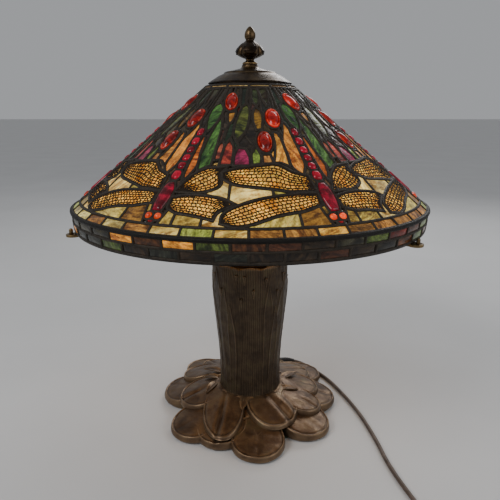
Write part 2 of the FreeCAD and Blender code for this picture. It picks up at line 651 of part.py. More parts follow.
# the ground: what is left of the field once every piece and every cut has taken its width of lead
FIELD_TOP, FIELD_LOW = 11.2, 237.0
MARGIN, STEP = 20.0, 4.0
ring_steps = int((PERIOD + 2 * MARGIN) / STEP) + 1
sides = [-MARGIN + i * STEP for i in range(ring_steps + 1)]
field = flat_face([unrolled(u, FIELD_TOP) for u in sides] + [unrolled(u, FIELD_LOW) for u in sides[::-1]])
closed = WINGS + [bead(*one) for one in BEADS] + [THORAX, HEAD] + eye_ovals + [oval(*one) for one in JEWELS] + BLADES
cutters = []
for period in (-1, 0, 1, 2):
    for outline in closed:
        points = [unrolled(u, s) for u, s in shifted(outline, period)]
        cutters.append(flat_face(grown(points, gap)))
    for line in CUTS:
        cutters.append(flat_face(stroke(shifted(line, period), gap)))
    spine = shifted([(0, 92), (0, 236)], period)
    cutters.append(flat_face(stroke(spine, gap)))
ground = field.cut(cutters)

SMALLEST_PANE = 30.0
LEFT_EDGE = -3.0
row_a_panes, ground_panes = [], []
BELOW_UPPER_WINGS = 183.0
for face in ground.Faces:
    u, s = cartoon_place(face.CenterOfMass)
    if face.Area < SMALLEST_PANE or not LEFT_EDGE <= u < LEFT_EDGE + PERIOD or len(face.Wires) > 1:
        continue
    points = [vertex.Point for vertex in face.OuterWire.OrderedVertexes]
    tidy = [p for i, p in enumerate(points) if (p - points[i - 1]).Length > 0.8]
    (row_a_panes if s > BELOW_UPPER_WINGS else ground_panes).append(tidy)
print(len(ground_panes), "ground panes and", len(row_a_panes), "filler panes a dragonfly")
glass_node("ground_glass", [c for p in ground_panes for c in repeated(pane(p), DRAGONFLIES)])
glass_node("filler_glass", [c for p in row_a_panes for c in repeated(pane(p), DRAGONFLIES)])


def wing_room(points):
    """The space that a wing and its lead take up, right through the wall."""
    face = flat_face([p - V(0, 0, 16) for p in grown(points, gap / 2 + clear)])
    return lay(face.extrude(V(0, 0, 26)), middle_u(points))


wing_rooms = [room for w in wing_outlines for room in repeated(wing_room(w), DRAGONFLIES)]


def clear_of_wings(frame):
    near = [room for room in wing_rooms if room.BoundBox.intersect(frame.BoundBox)]
    return frame.cut(near) if near else frame


small = bead_outlines + [thorax_outline, head_outline] + eye_outlines + jewel_outlines
glass_node("field_came", [c for p in small + blade_outlines + ground_panes + row_a_panes
                          for c in repeated(clear_of_wings(came_frame(p)), DRAGONFLIES)])

# ---------------------------------------------------------------- shade: bricks, rings

apron_drop = math.hypot(low_r - dim("rim_radius"), low_z - dim("rim_height"))


def wall_point(azimuth, s):
    """A point of the shade's outer surface: the cone, then the apron."""
    if s <= slant:
        return on_circle(top_r + s * sin_half, azimuth, top_z - s * cos_half)
    t = (s - slant) / apron_drop
    return on_circle(low_r + t * (dim("rim_radius") - low_r), azimuth, low_z + t * (dim("rim_height") - low_z))


def brick(azimuth, pitch, s_high, s_low):
    """Flat pane and its lead frame, both between two heights of the wall."""
    half = pitch / 2
    ring = [(azimuth - half, s_high), (azimuth + half, s_high), (azimuth + half, s_low), (azimuth - half, s_low)]
    cell = Part.Face(Part.makePolygon([wall_point(a, s) for a, s in ring + ring[:1]]))
    inward = cell.normalAt(0, 0)
    if inward.dot(on_circle(1, azimuth)) > 0:
        inward = inward * -1
    inner = cell.makeOffset2D(-gap / 2, join=2)
    outer = cell.makeOffset2D(-clear, join=2)
    hole = cell.makeOffset2D(clear - gap / 2, join=2)
    return inner.extrude(inward * thick), outer.cut(hole).extrude(inward * thick)


def brick_row(name, count, first, s_high, s_low):
    glass, frame = brick(first, 360.0 / count, s_high, s_low)
    glass_node(name, repeated(glass, count))
    return repeated(frame, count)


EDGE_B = -0.3
BRICKS = 6 * DRAGONFLIES
brick_pitch = 360.0 / BRICKS
frames = brick_row("top_strip_glass", 2 * DRAGONFLIES, 24.3 + 90.0 / DRAGONFLIES, 3.3, 8.9)
frames += brick_row("brick_row_b_glass", BRICKS, EDGE_B + brick_pitch / 2, 238.9, 252.0)
frames += brick_row("brick_row_c_glass", BRICKS, EDGE_B, 256.2, 267.4)
frames += brick_row("brick_row_d_glass", BRICKS, EDGE_B + brick_pitch / 2, 267.6, 279.6)
glass_node("brick_came", frames)

node(tube("aperture_solid", "aperture_radius - 2", "aperture_radius - 5", "5", "aperture_height - 4.2"),
     "aperture_ring")
node(tube("rim_solid", "rim_radius + 0.2", "rim_radius - 3.4", "2", "rim_height"), "rim_band")
corner = doc.addObject("Part::Torus", "corner_solid")
bind(corner, Radius1="dims.corner_radius - 1", Radius2="1.0")
corner.setExpression("Placement.Base.z", "dims.corner_height + 0.5")
node(corner, "corner_came")

# ---------------------------------------------------------------- vase cap and finial

CAP = [(59.2, 508.7), (58.4, 510), (55.5, 512.5), (49.7, 516.2), (43.3, 520), (37.4, 522.4), (36.4, 524.2),
       (30.2, 525.8), (16.5, 529), (12, 531.5), (11, 535)]
cap_solid = turned([(5.3, 535)] + CAP[::-1] + [(56, 508.7), (48, 513.4), (36, 520), (12, 526), (5.3, 528)])
feature("vase_cap", cap_solid)

FINIAL = [(0, 535.3), (10.4, 535.3), (10.6, 537), (8.2, 538.6), (5.8, 540), (6.1, 542), (12.9, 544.4), (19.2, 547.7),
          (20, 551.6), (18.3, 555.5), (15, 559.4), (9.8, 563.3), (5.9, 566.5), (7.5, 570.4), (7.4, 575), (5.2, 580),
          (2.2, 584), (0, 585)]
finial_bore = Part.makeCylinder(dim("pipe_radius") - 1.2 + 0.3, dim("riser_top") + 0.6 - 535, V(0, 0, 535))
feature("finial", turned(FINIAL).cut(finial_bore))

# ---------------------------------------------------------------- cord

CORD_ROUTE = [
    (60, 141, 7.2), (71.7, 145.3, 7), (84.7, 145.3, 5.2), (97.4, 140.2, 3.7), (108, 129.6, 3.1),
    (119, 112.4, 3.1), (133, 92.5, 3.1), (146.5, 64, 3.1), (157, 34, 3.1), (167.5, 0, 3.1), (176.5, -37, 3.1),
    (182.5, -76, 3.1), (186.8, -113, 3.1), (189, -148, 3.1), (194, -180, 3.1), (201, -211.5, 3.1),
    (207.6, -236, 3.1), (209.3, -258, 3.1), (209, -276, 3.1),
]


def coil_centre():
    return V(dim("coil_x"), dim("coil_y"), 0)


def rounded_path(points):
    """Straight runs joined by tangent arcs, each as large as its two runs allow."""
    corners = [V(*p) for p in points]
    edges, radii, start = [], [], corners[0]
    for before, here, after in zip(corners, corners[1:], corners[2:]):
        back, ahead = before - here, after - here
        shorter = min(back.Length, ahead.Length)
        half_turn = (math.pi - back.getAngle(ahead)) / 2
        setback = 0.45 * shorter
        radii.append(setback / math.tan(half_turn))
        enter = here + V(back).normalize() * setback
        leave = here + V(ahead).normalize() * setback
        inward = (V(back).normalize() + V(ahead).normalize()).normalize()
        centre_distance = radii[-1] / math.cos(half_turn)
        mid = here + inward * (centre_distance - radii[-1])
        edges.append(Part.LineSegment(start, enter).toShape())
        edges.append(Part.Arc(enter, mid, leave).toShape())
        start = leave
    edges.append(Part.LineSegment(start, corners[-1]).toShape())
    return Part.Wire(edges), radii


def cord_tube(name, points):
    path, radii = rounded_path(points)
    first = path.Edges[0]
    section = Part.Wire(Part.Circle(first.valueAt(first.FirstParameter), first.tangentAt(first.FirstParameter),
                                    dim("cord_radius")).toShape())
    solid = path.makePipeShell([section], True, False)
    full = math.pi * dim("cord_radius") ** 2 * path.Length
    print(name, "length", round(path.Length), "volume ratio", round(solid.Volume / full, 4),
          "radii", [round(r) for r in radii])
    feature(name, solid)


cord_tube("cord", CORD_ROUTE)


def coil_solid():
    centre = coil_centre()
    low, tall = V(centre.x, centre.y, 0.1), dim("coil_height")
    return Part.makeCylinder(dim("coil_outer"), tall, low).cut(Part.makeCylinder(dim("coil_inner"), tall, low))


feature("cord_coil", coil_solid())

PLUG_TAIL = [(250, -321.7, 9.2), (268, -323.3, 8.4), (284, -326, 7.1)]
cord_tube("cord_tail", PLUG_TAIL)


def plug_body():
    box = Part.makeBox(30, 24, 14, V(0, -12, 0.1))
    edges = [e for e in box.Edges if abs(e.tangentAt(e.FirstParameter).x) < 0.5]
    return box.makeFillet(3.5, edges)


def plug_blades():
    blades = [Part.makeBox(17, 1.5, 6.3, V(30.05, y - 0.75, 4)) for y in (-6.35, 6.35)]
    return Part.makeCompound(blades)


PLUG_PLACE = FreeCAD.Placement(V(284, -326, 0), FreeCAD.Rotation(Z_AXIS, -9))
for name, shape in (("plug_body", plug_body()), ("plug_blades", plug_blades())):
    feature(name, shape, PLUG_PLACE)

# ---------------------------------------------------------------- check and write

doc.recompute()
failed = [item.Name for item in doc.Objects if "Invalid" in item.State or "Error" in item.State]
bad = [item.Label for item in nodes if item.Shape.isNull() or not item.Shape.isValid()]
if failed or bad:
    raise RuntimeError(f"failed objects {failed}, bad shapes {bad}")
os.makedirs("parts", exist_ok=True)
for item in nodes:
    item.Shape.exportStep(f"parts/{item.Label}.step")
print(len(nodes), "nodes,", sum(len(item.Shape.Solids) for item in nodes), "solids")
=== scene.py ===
"""Looks of a stained glass dragonfly table lamp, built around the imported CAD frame. Lengths are in metres."""

import math

import bmesh
import bpy
import numpy as np
from mathutils import Matrix, Vector, geometry, noise


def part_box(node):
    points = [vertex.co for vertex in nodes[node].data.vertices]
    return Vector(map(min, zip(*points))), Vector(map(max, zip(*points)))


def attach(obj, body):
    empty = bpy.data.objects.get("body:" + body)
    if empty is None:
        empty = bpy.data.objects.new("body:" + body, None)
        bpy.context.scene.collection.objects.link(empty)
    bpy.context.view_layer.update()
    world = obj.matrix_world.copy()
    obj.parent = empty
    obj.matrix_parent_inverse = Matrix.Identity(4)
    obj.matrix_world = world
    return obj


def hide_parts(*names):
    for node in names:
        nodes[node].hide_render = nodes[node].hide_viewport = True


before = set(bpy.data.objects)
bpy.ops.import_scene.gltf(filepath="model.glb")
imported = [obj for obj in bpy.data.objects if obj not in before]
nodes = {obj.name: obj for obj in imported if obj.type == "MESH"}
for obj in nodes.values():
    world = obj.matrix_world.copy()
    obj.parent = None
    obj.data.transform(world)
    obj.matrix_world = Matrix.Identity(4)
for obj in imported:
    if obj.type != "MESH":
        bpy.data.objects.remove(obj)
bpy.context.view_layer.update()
MM = 0.001
rng = np.random.default_rng(7)

# ---------------------------------------------------------------- camera

cam_data = bpy.data.cameras.new("camera")
cam_data.lens = 36.7
cam_data.sensor_width = 36
camera = bpy.data.objects.new("camera", cam_data)
camera.location = (0, -0.7572, 0.4667)
camera.rotation_euler = (math.radians(90 - 14.83), 0, 0)
bpy.context.collection.objects.link(camera)
bpy.context.scene.camera = camera


class Shader:
    """One node material; flat values go straight on the Principled sockets."""

    def __init__(self, name, **flat):
        self.mat = bpy.data.materials.new(name)
        self.mat.use_nodes = True
        self.tree = self.mat.node_tree
        self.out = self.tree.nodes["Principled BSDF"]
        for key, value in flat.items():
            self.out.inputs[key.replace("_", " ")].default_value = value

    def add(self, kind, inputs=(), **props):
        made = self.tree.nodes.new("ShaderNode" + kind)
        for key, value in props.items():
            setattr(made, key, value)
        for key, value in dict(inputs).items():
            self.put(made.inputs[key], value)
        return made

    def put(self, socket, value):
        if isinstance(value, bpy.types.NodeSocket):
            self.tree.links.new(value, socket)
        else:
            socket.default_value = value

    def place(self):
        """Object coordinates in metres."""
        return self.add("TexCoord").outputs["Object"]

    def stretched(self, vector, across, along):
        return self.add("Mapping", {"Vector": vector, "Scale": (across, along, 1)}).outputs["Vector"]

    def noise(self, vector, scale, detail=4.0, rough=0.55, distortion=0.0):
        made = self.add("TexNoise", {"Vector": vector, "Scale": scale, "Detail": detail, "Roughness": rough,
                                     "Distortion": distortion})
        return made.outputs["Fac"]

    def ramp(self, fac, *stops):
        made = self.add("ValToRGB", {"Fac": fac})
        elements = made.color_ramp.elements
        while len(elements) < len(stops):
            elements.new(0.5)
        for element, (position, colour) in zip(elements, stops):
            element.position = position
            element.color = (*colour, 1) if len(colour) == 3 else colour
        return made.outputs["Color"]

    def span(self, fac, low, high, to_low=0.0, to_high=1.0):
        made = self.add("MapRange", {"Value": fac, "From Min": low, "From Max": high, "To Min": to_low,
                                     "To Max": to_high})
        return made.outputs["Result"]

    def math(self, kind, a, b):
        return self.add("Math", {0: a, 1: b}, operation=kind).outputs[0]

    def mix(self, fac, a, b, blend="MIX"):
        made = self.add("Mix", {0: fac, 6: a, 7: b}, data_type="RGBA", blend_type=blend)
        return made.outputs[2]

    def bump(self, height, distance):
        made = self.add("Bump", {"Height": height, "Distance": distance, "Strength": 1.0})
        self.put(self.out.inputs["Normal"], made.outputs["Normal"])

    def set(self, name, value):
        self.put(self.out.inputs[name], value)


def link(obj):
    bpy.context.collection.objects.link(obj)
    return obj


def grid_faces(rows, columns, close_columns=True, flip=False):
    """Quads of a grid whose vertices run row by row."""
    faces = []
    last = columns if close_columns else columns - 1
    for i in range(rows - 1):
        for j in range(last):
            k = (j + 1) % columns
            quad = (i * columns + j, i * columns + k, (i + 1) * columns + k, (i + 1) * columns + j)
            faces.append(quad[::-1] if flip else quad)
    return faces


class Build:
    """Gathers vertices and faces of one object, then makes it."""

    def __init__(self):
        self.verts, self.faces, self.attrs = [], [], {}

    def add(self, verts, faces, **attrs):
        start = len(self.verts)
        self.verts.extend(verts)
        self.faces.extend([tuple(i + start for i in face) for face in faces])
        for key, value in attrs.items():
            self.attrs.setdefault(key, []).extend(value if isinstance(value, list) else [value] * len(verts))

    def make(self, name, body, mat, slot, replaces=(), smooth=True, sharp=None):
        mesh = bpy.data.meshes.new(name)
        mesh.from_pydata([tuple(v) for v in self.verts], [], self.faces)
        for key, values in self.attrs.items():
            width = len(values[0]) if hasattr(values[0], "__len__") else 1
            kind = {1: "FLOAT", 3: "FLOAT_VECTOR", 4: "FLOAT_COLOR"}[width]
            layer = mesh.attributes.new(key, kind, "POINT")
            field = {1: "value", 3: "vector", 4: "color"}[width]
            layer.data.foreach_set(field, np.array(values, dtype=np.float32).ravel())
        mesh.polygons.foreach_set("use_smooth", [smooth] * len(mesh.polygons))
        if sharp:
            mesh.set_sharp_from_angle(angle=math.radians(sharp))
        mesh.materials.append(mat)
        return finished(bpy.data.objects.new(name, mesh), body, slot, replaces)


def finished(obj, body, slot, replaces=()):
    if obj.name not in bpy.context.collection.objects:
        link(obj)
    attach(obj, body)
    if replaces:
        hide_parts(*replaces)
    return obj


def closed_faces(rings, count, flip=False):
    """Quads of rings of points whose last ring meets the first."""
    faces = []
    for i in range(rings):
        k = (i + 1) % rings
        for j in range(count):
            m = (j + 1) % count
            quad = (i * count + j, i * count + m, k * count + m, k * count + j)
            faces.append(quad[::-1] if flip else quad)
    return faces


def loft(build, rings):
    """Closed tube through rings of points, ends filled."""
    count = len(rings[0])
    verts = [p for ring in rings for p in ring]
    faces = grid_faces(len(rings), count)
    faces.append(tuple(range(count))[::-1])
    faces.append(tuple(range((len(rings) - 1) * count, len(rings) * count)))
    build.add(verts, faces)


def lathe(build, profile, count, centre=(0, 0), radius=None):
    """Closed solid turned from (r, z) pairs; radius(r, z, angle) may shape it."""
    rings = []
    for r, z in profile:
        ring = []
        for j in range(count):
            a = 2 * math.pi * j / count
            rr = radius(r, z, a) if radius else r
            ring.append(Vector((centre[0] + rr * math.sin(a), centre[1] - rr * math.cos(a), z)))
        rings.append(ring)
    loft(build, rings)


def smooth_line(points, step, closed=False, corner=45.0):
    """Points along a line through the given ones, rounded except at its corners."""
    points = [Vector(p) for p in points]
    n = len(points)
    pairs = range(n if closed else n - 1)
    legs = [points[(i + 1) % n] - points[i] for i in pairs]

    def tangent(i, leg):
        if not closed and i in (0, n - 1):
            return leg.normalized()
        before, after = legs[(i - 1) % len(legs)], legs[i % len(legs)]
        if before.length < 1e-9 or after.length < 1e-9 or before.angle(after) > math.radians(corner):
            return leg.normalized()
        return (before.normalized() + after.normalized()).normalized()

    result = []
    for i in pairs:
        a, leg = points[i], legs[i]
        if leg.length < 1e-9:
            continue
        t0, t1 = tangent(i, leg) * leg.length, tangent((i + 1) % n if closed else i + 1, leg) * leg.length
        parts = max(1, round(leg.length / step))
        for k in range(parts):
            t = k / parts
            t2, t3 = t * t, t * t * t
            result.append(a * (2 * t3 - 3 * t2 + 1) + t0 * (t3 - 2 * t2 + t)
                          + points[(i + 1) % n] * (3 * t2 - 2 * t3)
                          + t1 * (t3 - t2))
    if not closed:
        result.append(points[-1].copy())
    return result


def smooth_flat(points, step, closed, corner):
    """smooth_line for flat (x, y) points."""
    line = smooth_line([Vector((p[0], p[1], 0)) for p in points], step, closed, corner)
    return [Vector((p.x, p.y)) for p in line]


def around(azimuth, r, z):
    """Point at radius r and height z; azimuth 0 is the front."""
    return Vector((r * math.sin(azimuth), -r * math.cos(azimuth), z))


def table(pairs, x):
    return float(np.interp(x, [p[0] for p in pairs], [p[1] for p in pairs]))


# ---------------------------------------------------------------- cord

CORD_RADIUS = 0.003
TURN_POINTS = 12
LAYER_TURNS = 3
COIL_OUTER_TURN, COIL_PITCH = 0.0426, 0.0062
LOW_LAYER, HIGH_LAYER = 0.0031, 0.0094
COIL_X, COIL_Y = 0.251, -0.2797
ROUTE = [
    (60, 141, 7.2), (71.7, 145.3, 7), (84.7, 145.3, 5.2), (97.4, 140.2, 3.7), (108, 129.6, 3.1),
    (119, 112.4, 3.1), (133, 92.5, 3.1), (146.5, 64, 3.1), (157, 34, 3.1), (167.5, 0, 3.1), (176.5, -37, 3.1),
    (182.5, -76, 3.1), (186.8, -113, 3.1), (189, -148, 3.1), (194, -180, 3.1), (201, -211.5, 3.1),
    (207.6, -236, 3.1), (209.3, -258, 3.1), (209, -276, 3.1),
]
TAIL = [(250, -321.7, 9.2), (268, -323.3, 8.4), (284, -326, 7.1)]


def coil_points():
    """The coiled part: three turns inwards on the floor, then three outwards on top, anticlockwise."""
    points = []
    for i in range(1, int((2 * LAYER_TURNS + 0.25) * TURN_POINTS)):
        turn = i / TURN_POINTS
        angle = math.pi + 2 * math.pi * turn
        inwards = min(turn, LAYER_TURNS, max(0.0, 2 * LAYER_TURNS + 0.25 - turn))
        out_of_round = 0.0009 * math.sin(2 * angle + 0.6)
        radius = COIL_OUTER_TURN - COIL_PITCH * inwards + out_of_round
        climb = min(1.0, max(0.0, (turn - LAYER_TURNS + 0.15) / 0.55))
        z = LOW_LAYER + (HIGH_LAYER - LOW_LAYER) * climb
        points.append((COIL_X + radius * math.cos(angle), COIL_Y + radius * math.sin(angle), z))
    return points


def spline_curve(name, points, radius):
    curve = bpy.data.curves.new(name, "CURVE")
    curve.dimensions = "3D"
    line = curve.splines.new("NURBS")
    line.points.add(len(points) - 1)
    for point, place in zip(line.points, points):
        point.co = (*place, 1)
        point.radius = radius
    line.order_u = 3
    line.use_endpoint_u = True
    line.resolution_u = 8
    curve.bevel_depth = 1.0
    curve.bevel_resolution = 4
    curve.use_fill_caps = True
    return link(bpy.data.objects.new(name, curve))


def in_metres(points):
    return [tuple(v * MM for v in p) for p in points]


cord_path = in_metres(ROUTE) + coil_points() + in_metres(TAIL)
flex = spline_curve("flex", cord_path, CORD_RADIUS)


# ---------------------------------------------------------------- materials

def metal(name, stops, grain=90.0, relief=0.0004, roughness=(0.3, 0.55), wear=None, **flat):
    """Patinated metal: mottled colour, uneven polish, fine pits, and edges worn to the wear colour."""
    s = Shader(name, **flat)
    here = s.place()
    mottled = s.noise(here, grain, 6, 0.6, 0.4)
    colour = s.ramp(mottled, *stops)
    if wear:
        point = s.add("NewGeometry").outputs["Pointiness"]
        worn = s.span(point, 0.5, 0.56)
        colour = s.mix(s.math("MULTIPLY", worn, s.span(mottled, 0.3, 0.65, 0.35, 1.0)), colour, (*wear, 1))
        hollow = s.span(point, 0.5, 0.43)
        colour = s.mix(s.math("MULTIPLY", hollow, 0.75), colour, (0.006, 0.004, 0.003, 1))
    s.set("Base Color", colour)
    s.set("Roughness", s.span(s.noise(here, grain * 3, 3), 0.3, 0.7, *roughness))
    s.bump(s.noise(here, grain * 7, 5, 0.65), relief)
    return s.mat


def glass(name, roughness=(0.14, 0.34), ripple=0.0009, streak=1.0, stains=0.75, **flat):
    """Opalescent art glass, lit from within: two colours in streaks, from the pane's own attributes."""
    s = Shader(name, IOR=1.5, Coat_Weight=0.12, Coat_Roughness=0.12, Specular_IOR_Level=0.3, **flat)
    flow = s.add("UVMap", uv_map="flow").outputs["UV"]
    streaks = s.noise(s.stretched(flow, 16, 70), 1.4, 5, 0.62, 1.3)
    clouds = s.noise(flow, 48, 5, 0.6, 1.0)
    blotches = s.noise(flow, 26, 3, 0.5, 1.4)
    light = s.add("Attribute", attribute_name="light_colour").outputs["Color"]
    deep = s.add("Attribute", attribute_name="deep_colour").outputs["Color"]
    glow = s.add("Attribute", attribute_name="glow").outputs["Fac"]
    streak_share = 0.65 * streak
    drawn_share = s.math("ADD", s.math("MULTIPLY", streaks, streak_share),
                         s.math("MULTIPLY", clouds, 1.15 - streak_share))
    colour = s.mix(s.span(drawn_share, 0.47, 0.66), deep, light)
    speck = s.noise(flow, 420, 2)
    colour = s.mix(0.30, colour, s.ramp(speck, (0.35, (0, 0, 0)), (0.7, (1, 1, 1))), "OVERLAY")
    stain = s.noise(s.stretched(flow, 30, 90), 1.2, 4, 0.6, 1.6)
    stained = s.mix(1.0, colour, s.ramp(stain, (0.36, (0.16, 0.075, 0.03)), (0.52, (1, 1, 1))), "MULTIPLY")
    colour = s.mix(stains, colour, stained)
    s.set("Base Color", s.mix(1.0, colour, (0.16, 0.15, 0.14, 1), "MULTIPLY"))
    brightness = s.math("MULTIPLY", glow, s.span(blotches, 0.36, 0.64, 0.5, 1.3))
    scaled = s.add("VectorMath", {0: colour, "Scale": brightness}, operation="SCALE")
    s.set("Emission Color", scaled.outputs["Vector"])
    s.out.inputs["Emission Strength"].default_value = 1.0
    s.set("Roughness", s.span(clouds, 0.3, 0.7, *roughness))
    rolled = s.noise(s.stretched(flow, 40, 150), 1.5, 3, 0.5, 0.6)
    s.bump(s.math("ADD", s.math("MULTIPLY", rolled, 0.8), s.math("MULTIPLY", speck, 0.08)), ripple)
    return s.mat


DARK_BRONZE = [(0.30, (0.018, 0.011, 0.007)), (0.5, (0.05, 0.031, 0.017)), (0.68, (0.095, 0.062, 0.028))]
BROWN_BRONZE = [
    (0.28, (0.050, 0.030, 0.018)), (0.45, (0.105, 0.064, 0.038)), (0.6, (0.150, 0.098, 0.056)),
    (0.75, (0.125, 0.110, 0.055)),
]
COLUMN_BRONZE = [(0.28, (0.026, 0.018, 0.012)), (0.5, (0.060, 0.041, 0.025)), (0.72, (0.080, 0.066, 0.034))]
bronze = metal(
    "cast_bronze", BROWN_BRONZE, grain=38, relief=0.0003, roughness=(0.3, 0.48),
    wear=(0.26, 0.175, 0.10), Metallic=0.72,
)
column_bronze = metal(
    "column_bronze", COLUMN_BRONZE, grain=45, relief=0.0003, roughness=(0.34, 0.52),
    wear=(0.19, 0.13, 0.08), Metallic=0.72,
)
cap_bronze = metal(
    "turned_bronze", DARK_BRONZE, grain=55, relief=0.0002, roughness=(0.26, 0.42),
    wear=(0.3, 0.2, 0.09), Metallic=0.9,
)
steel = metal(
    "zinc_plated_steel", [(0.3, (0.28, 0.28, 0.29)), (0.7, (0.5, 0.5, 0.5))], 140, 0.0001, (0.25, 0.45),
    Metallic=1.0,
)
brass = metal(
    "aged_brass", [(0.3, (0.28, 0.17, 0.05)), (0.7, (0.55, 0.36, 0.12))], 120, 0.0001, (0.2, 0.4),
    wear=(0.75, 0.55, 0.22), Metallic=1.0,
)
arm_brass = metal(
    "arm_brass", [(0.3, (0.05, 0.032, 0.018)), (0.7, (0.13, 0.085, 0.04))], 100, 0.0002, (0.3, 0.5),
    wear=(0.26, 0.18, 0.08), Metallic=0.9,
)
lead = metal(
    "solder_came",
    [(0.3, (0.005, 0.0045, 0.004)), (0.55, (0.010, 0.009, 0.007)), (0.75, (0.024, 0.019, 0.014))], 160,
    0.0005, (0.42, 0.62), wear=(0.045, 0.034, 0.024), Metallic=0.35, Specular_IOR_Level=0.3,
)
filigree_metal = metal(
    "etched_filigree", [(0.3, (0.004, 0.003, 0.002)), (0.7, (0.013, 0.008, 0.005))], 200, 0.0002,
    (0.5, 0.7), wear=(0.026, 0.016, 0.009), Metallic=0.2, Specular_IOR_Level=0.2,
)


def fibrous(name, stops, grain, relief, sheen):
    """Felt or woven cover: fine fibres in every direction."""
    s = Shader(name, Roughness=0.92, Sheen_Weight=sheen, Sheen_Roughness=0.5)
    here = s.place()
    fibres = s.noise(here, grain, 6, 0.75, 2.5)
    s.set("Base Color", s.ramp(fibres, *stops))
    s.bump(fibres, relief)
    return s.mat


felt = fibrous("green_felt", [(0.35, (0.012, 0.03, 0.018)), (0.7, (0.04, 0.085, 0.05))], 900, 0.0006, 0.4)


def rubber(name, dark, pale, grain=260):
    """Moulded plastic or rubber with a fine spark-eroded texture."""
    s = Shader(name, Specular_IOR_Level=0.35)
    here = s.place()
    fine = s.noise(here, grain * 8, 3, 0.6)
    s.set("Base Color", s.ramp(s.noise(here, grain, 4), (0.3, dark), (0.7, pale)))
    s.set("Roughness", s.span(fine, 0.3, 0.7, 0.42, 0.62))
    s.bump(fine, 0.00008)
    return s.mat


black_rubber = rubber("black_rubber", (0.010, 0.010, 0.011), (0.022, 0.021, 0.022))
plug_plastic = rubber("plug_plastic", (0.035, 0.022, 0.015), (0.062, 0.042, 0.03))


def cord_cover():
    """Soft brown vinyl over two cores, with a fine grain and dull scuffs."""
    s = Shader("cord_cover", Specular_IOR_Level=0.4)
    here = s.place()
    scuffs = s.noise(here, 60, 5, 0.6, 0.5)
    s.set("Base Color", s.ramp(scuffs, (0.3, (0.05, 0.034, 0.026)), (0.55, (0.10, 0.072, 0.056)),
                               (0.8, (0.19, 0.15, 0.125))))
    s.set("Roughness", s.span(scuffs, 0.3, 0.7, 0.38, 0.6))
    s.bump(s.noise(here, 900, 3), 0.00006)
    return s.mat


cover = cord_cover()


def lamp_glass():
    """Frosted bulb, burning warm."""
    s = Shader("frosted_bulb", IOR=1.45, Coat_Weight=0.3, Coat_Roughness=0.2)
    here = s.place()
    cloud = s.noise(here, 60, 3)
    s.set("Base Color", s.ramp(cloud, (0.3, (0.9, 0.82, 0.66)), (0.7, (1.0, 0.93, 0.8))))
    s.set("Emission Color", s.ramp(cloud, (0.3, (1.0, 0.56, 0.22)), (0.7, (1.0, 0.70, 0.36))))
    s.out.inputs["Emission Strength"].default_value = 1.9
    s.set("Roughness", s.span(cloud, 0.3, 0.7, 0.3, 0.5))
    s.bump(s.noise(here, 1500, 2), 0.00003)
    return s.mat


frosted = lamp_glass()
pane_glass = glass("opalescent_glass")
wing_glass_mat = glass(
    "iridescent_wing_glass", roughness=(0.16, 0.36), ripple=0.0006, streak=0.7, stains=0.35,
)
pressed_glass = glass("pressed_glass", roughness=(0.10, 0.20), ripple=0.0003, streak=0.5, stains=0.25)

# ---------------------------------------------------------------- floor and light

floor_shader = Shader("pale_floor", Specular_IOR_Level=0.3)
floor_place = floor_shader.place()
floor_shader.set("Base Color", floor_shader.ramp(floor_shader.noise(floor_place, 3, 3),
                                                 (0.3, (0.60, 0.60, 0.60)), (0.7, (0.64, 0.64, 0.64))))
floor_shader.set("Roughness", floor_shader.span(floor_shader.noise(floor_place, 500, 2), 0.3, 0.7, 0.7, 0.85))
floor_mesh = bpy.data.meshes.new("floor")
REACH = 60.0
floor_mesh.from_pydata([(-REACH, -REACH, 0), (REACH, -REACH, 0), (REACH, REACH, 0), (-REACH, REACH, 0)], [],
                       [(0, 1, 2, 3)])
floor_mesh.materials.append(floor_shader.mat)
floor = link(bpy.data.objects.new("floor", floor_mesh))

world = bpy.data.worlds.new("studio")
world.use_nodes = True
world.node_tree.nodes["Background"].inputs["Color"].default_value = (0.80, 0.82, 0.85, 1)
world.node_tree.nodes["Background"].inputs["Strength"].default_value = 0.45
bpy.context.scene.world = world


def softbox(name, place, target, size, watts, colour=(1, 1, 1)):
    lamp = bpy.data.lights.new(name, "AREA")
    lamp.shape = "RECTANGLE"
    lamp.size, lamp.size_y = size
    lamp.energy = watts
    lamp.color = colour
    obj = link(bpy.data.objects.new(name, lamp))
    obj.location = place
    obj.rotation_euler = (Vector(target) - Vector(place)).to_track_quat("-Z", "Y").to_euler()


softbox("key", (-1.3, -1.2, 1.6), (0, 0, 0.25), (1.0, 0.8), 20)
softbox("fill", (1.7, -0.9, 1.0), (0, 0, 0.2), (1.2, 1.2), 9)
softbox("back", (0.6, 1.6, 1.5), (0, 0, 0.3), (1.2, 0.8), 14)

# ---------------------------------------------------------------- cord fittings

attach(flex, "stand")
flex.data.materials.append(cover)
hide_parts("cord", "cord_coil", "cord_tail")


def sweep(build, path, shape):
    """Closed tube along a path; shape(t, i) gives (across, up) pairs of the section there."""
    rings = []
    for i, here in enumerate(path):
        ahead = (path[min(i + 1, len(path) - 1)] - path[max(i - 1, 0)]).normalized()
        side = ahead.cross(Vector((0, 0, 1))).normalized()
        top = side.cross(ahead)
        rings.append([here + side * x + top * y for x, y in shape(i / (len(path) - 1), i)])
    loft(build, rings)


def circle_section(radius, count=20):
    return [(radius * math.cos(2 * math.pi * k / count), radius * math.sin(2 * math.pi * k / count))
            for k in range(count)]


RELIEF_LENGTH = 0.028
relief = Build()
exit_point, second_point, third_point = (Vector(p) * MM for p in ROUTE[:3])
relief_path = [exit_point - (second_point - exit_point).normalized() * 0.004]
relief_path += [point for point in smooth_line([exit_point, second_point, third_point], 0.0008)
                if (point - exit_point).length < RELIEF_LENGTH]


def relief_section(t, i):
    groove = 0.00045 if i % 4 < 2 and 0.15 < t < 0.9 else 0.0
    return circle_section(0.0064 - 0.0027 * t - groove)


